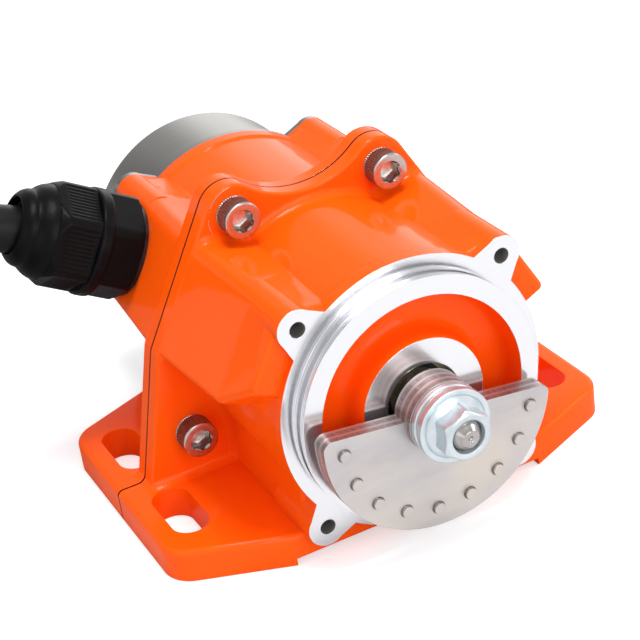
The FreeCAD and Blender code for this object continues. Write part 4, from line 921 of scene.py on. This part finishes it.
# Rear cover
# Deep drawn steel cup with a flange and four ears, left in bare metal and
# brushed round its axis to a satin grey. Four screws hold it to the rear lugs.
satin_steel, tree, place = new_material("satin_drawn_steel")
rounds = add(tree, "Mapping", {"Vector": place, "Scale": (1.0, 0.03, 0.03)})
brush = add(tree, "TexNoise", {"Vector": rounds, "Scale": 1500.0, "Detail": 4.0})
tone = add(tree, "Mix", {0: brush, 6: linear("858380"), 7: linear("969491")}, data_type="RGBA")
rough = add(tree, "MapRange", {"Value": brush, "To Min": 0.30, "To Max": 0.38})
bump = add(tree, "Bump", {"Height": brush, "Strength": 0.05, "Distance": 0.0001})
along = add(tree, "Tangent", direction_type="UV_MAP", uv_map="turned")
metal = add(tree, "BsdfPrincipled", {"Base Color": tone.outputs[2], "Metallic": 1.0, "Roughness": rough,
                                     "Anisotropic": 0.5, "Anisotropic Rotation": 0.25, "Tangent": along,
                                     "Normal": bump})
add(tree, "OutputMaterial", {"Surface": metal})

cover = merged_copy("rear_cover", "rear_cover_cup")
cover.data.materials.append(satin_steel)
polar_uv(cover.data)
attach(cover, "stator")


# Cable gland
# Black glass-filled polyamide: a hexagon body with a round collar, and a domed
# nut with fine ribs on its flats that squeezes a rubber bush round the lead.
GLAND_FOOT = Vector((-0.0335, -0.03919, 0.0600))
GLAND_WAY = Vector((-0.0632, -0.8688, 0.4916)).normalized()
GLAND_COLUMNS = 288
GLAND_NUT_LOW = 0.0140
GLAND_HEX = 0.0265
RIBS = 72
RIB_DEPTH = 0.00022
gland_turn = np.array(Vector((0, 0, 1)).rotation_difference(GLAND_WAY).to_matrix())


def on_gland(along, radius):
    """Grid of points round the gland's axis, from distances along it and radii by angle."""
    grid = ringed(along, radius, GLAND_COLUMNS, (0.0, 0.0))
    local = grid[..., [1, 2, 0]]
    return local @ gland_turn.T + np.array(GLAND_FOOT)


polyamide, tree, place = new_material("glass_filled_polyamide")
# Moulded black nylon: a soft sheen that is uneven where glass fibre comes to the surface.
fibre = add(tree, "TexNoise", {"Vector": place, "Scale": 650.0, "Detail": 5.0})
cloud = add(tree, "TexNoise", {"Vector": place, "Scale": 110.0, "Detail": 2.0})
tone = add(tree, "Mix", {0: cloud, 6: linear("040405"), 7: linear("09090B")}, data_type="RGBA")
rough = add(tree, "MapRange", {"Value": fibre, "To Min": 0.26, "To Max": 0.50})
bump = add(tree, "Bump", {"Height": fibre, "Strength": 0.12, "Distance": 0.0003})
skin = add(tree, "BsdfPrincipled", {"Base Color": tone.outputs[2], "Roughness": rough,
                                    "Specular IOR Level": 0.09, "Normal": bump})
add(tree, "OutputMaterial", {"Surface": skin})

# The hexagon's corners stand at 30 degrees and every 60 from there, as in the CAD.
gland_angle = angles(GLAND_COLUMNS)
gland_hex = hexagon(GLAND_HEX, gland_angle, 0.0006)
rib = RIB_DEPTH * (0.5 - 0.5 * np.cos(RIBS * gland_angle)) ** 0.6


def gland_body_grid():
    """Hexagon with a rounded foot and shoulder, a round collar above it, and the threaded stem below."""
    foot = np.array([(-0.009, 0.0077), (-0.009, 0.0095), (-0.0085, 0.0100), (0.0012, 0.0100)])
    rise = np.array([0.0012, 0.0014, 0.0018, 0.0024, 0.0032, 0.0060, 0.0090, 0.0098, 0.0102, 0.0104])
    limit = np.interp(rise, [0.0012, 0.0018, 0.0032, 0.0092, 0.0104], [0.0136, 0.0146, 0.0155, 0.0155, 0.0149])
    six = np.minimum(gland_hex[None, :], limit[:, None])
    six[0] -= 0.0003
    collar = rounded([(0.0104, 0.0140), (0.0104, 0.0150), (0.0140, 0.0150), (0.0140, 0.0100),
                      (0.0230, 0.0100), (0.0230, 0.0077)], 0.0009, 5)
    along = np.concatenate([foot[:, 0], rise, collar[:, 0]])
    wide = np.broadcast_to(foot[:, 1:], (len(foot), GLAND_COLUMNS))
    top = np.broadcast_to(collar[:, 1:], (len(collar), GLAND_COLUMNS))
    return on_gland(along, np.vstack([wide, six, top]))


def gland_nut_grid():
    """Ribbed hexagon skirt under a chamfer, then the dome in two steps, and back down the bore."""
    rise = np.array([0.0140, 0.0142, 0.0145, 0.0150, 0.0155, 0.0225, 0.0232, 0.0237, 0.0242, 0.0247, 0.0252,
                     0.0257])
    limit = np.interp(rise, [0.0140, 0.0144, 0.0150, 0.0226, 0.0257], [0.0146, 0.0150, 0.0152, 0.0152, 0.0134])
    depth = np.interp(rise, [0.0146, 0.0154, 0.0222, 0.0230], [0.0, 1.0, 1.0, 0.0])
    corner = gland_hex > 0.01465
    ribbed = gland_hex[None, :] - depth[:, None] * np.where(corner, 0.0, rib)[None, :]
    skirt = np.minimum(ribbed, limit[:, None])
    low = GLAND_NUT_LOW
    dome = rounded([(low + 0.0118, 0.0132), (low + 0.0132, 0.0129), (low + 0.0148, 0.0121),
                    (low + 0.0160, 0.0111), (low + 0.0167, 0.0107), (low + 0.0176, 0.0107),
                    (low + 0.0190, 0.0101), (low + 0.0204, 0.0086), (low + 0.0204, 0.0078),
                    (low + 0.0130, 0.0077), (low + 0.0095, 0.01005), (low, 0.01005)], 0.0008, 5)
    along = np.concatenate([rise, dome[:, 0]])
    return on_gland(along, np.vstack([skirt, np.broadcast_to(dome[:, 1:], (len(dome), GLAND_COLUMNS))]))


for name, grid, node in (("gland_hexagon_body", gland_body_grid(), "gland_body"),
                         ("gland_dome_nut", gland_nut_grid(), "gland_nut")):
    piece = new_object(name, skinned(name, [grid], loop=True), polyamide)
    even_normals(piece)
    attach(piece, "stator")
    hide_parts(node)
dress("gland_ring", nitrile)
dress("gland_seal", nitrile)
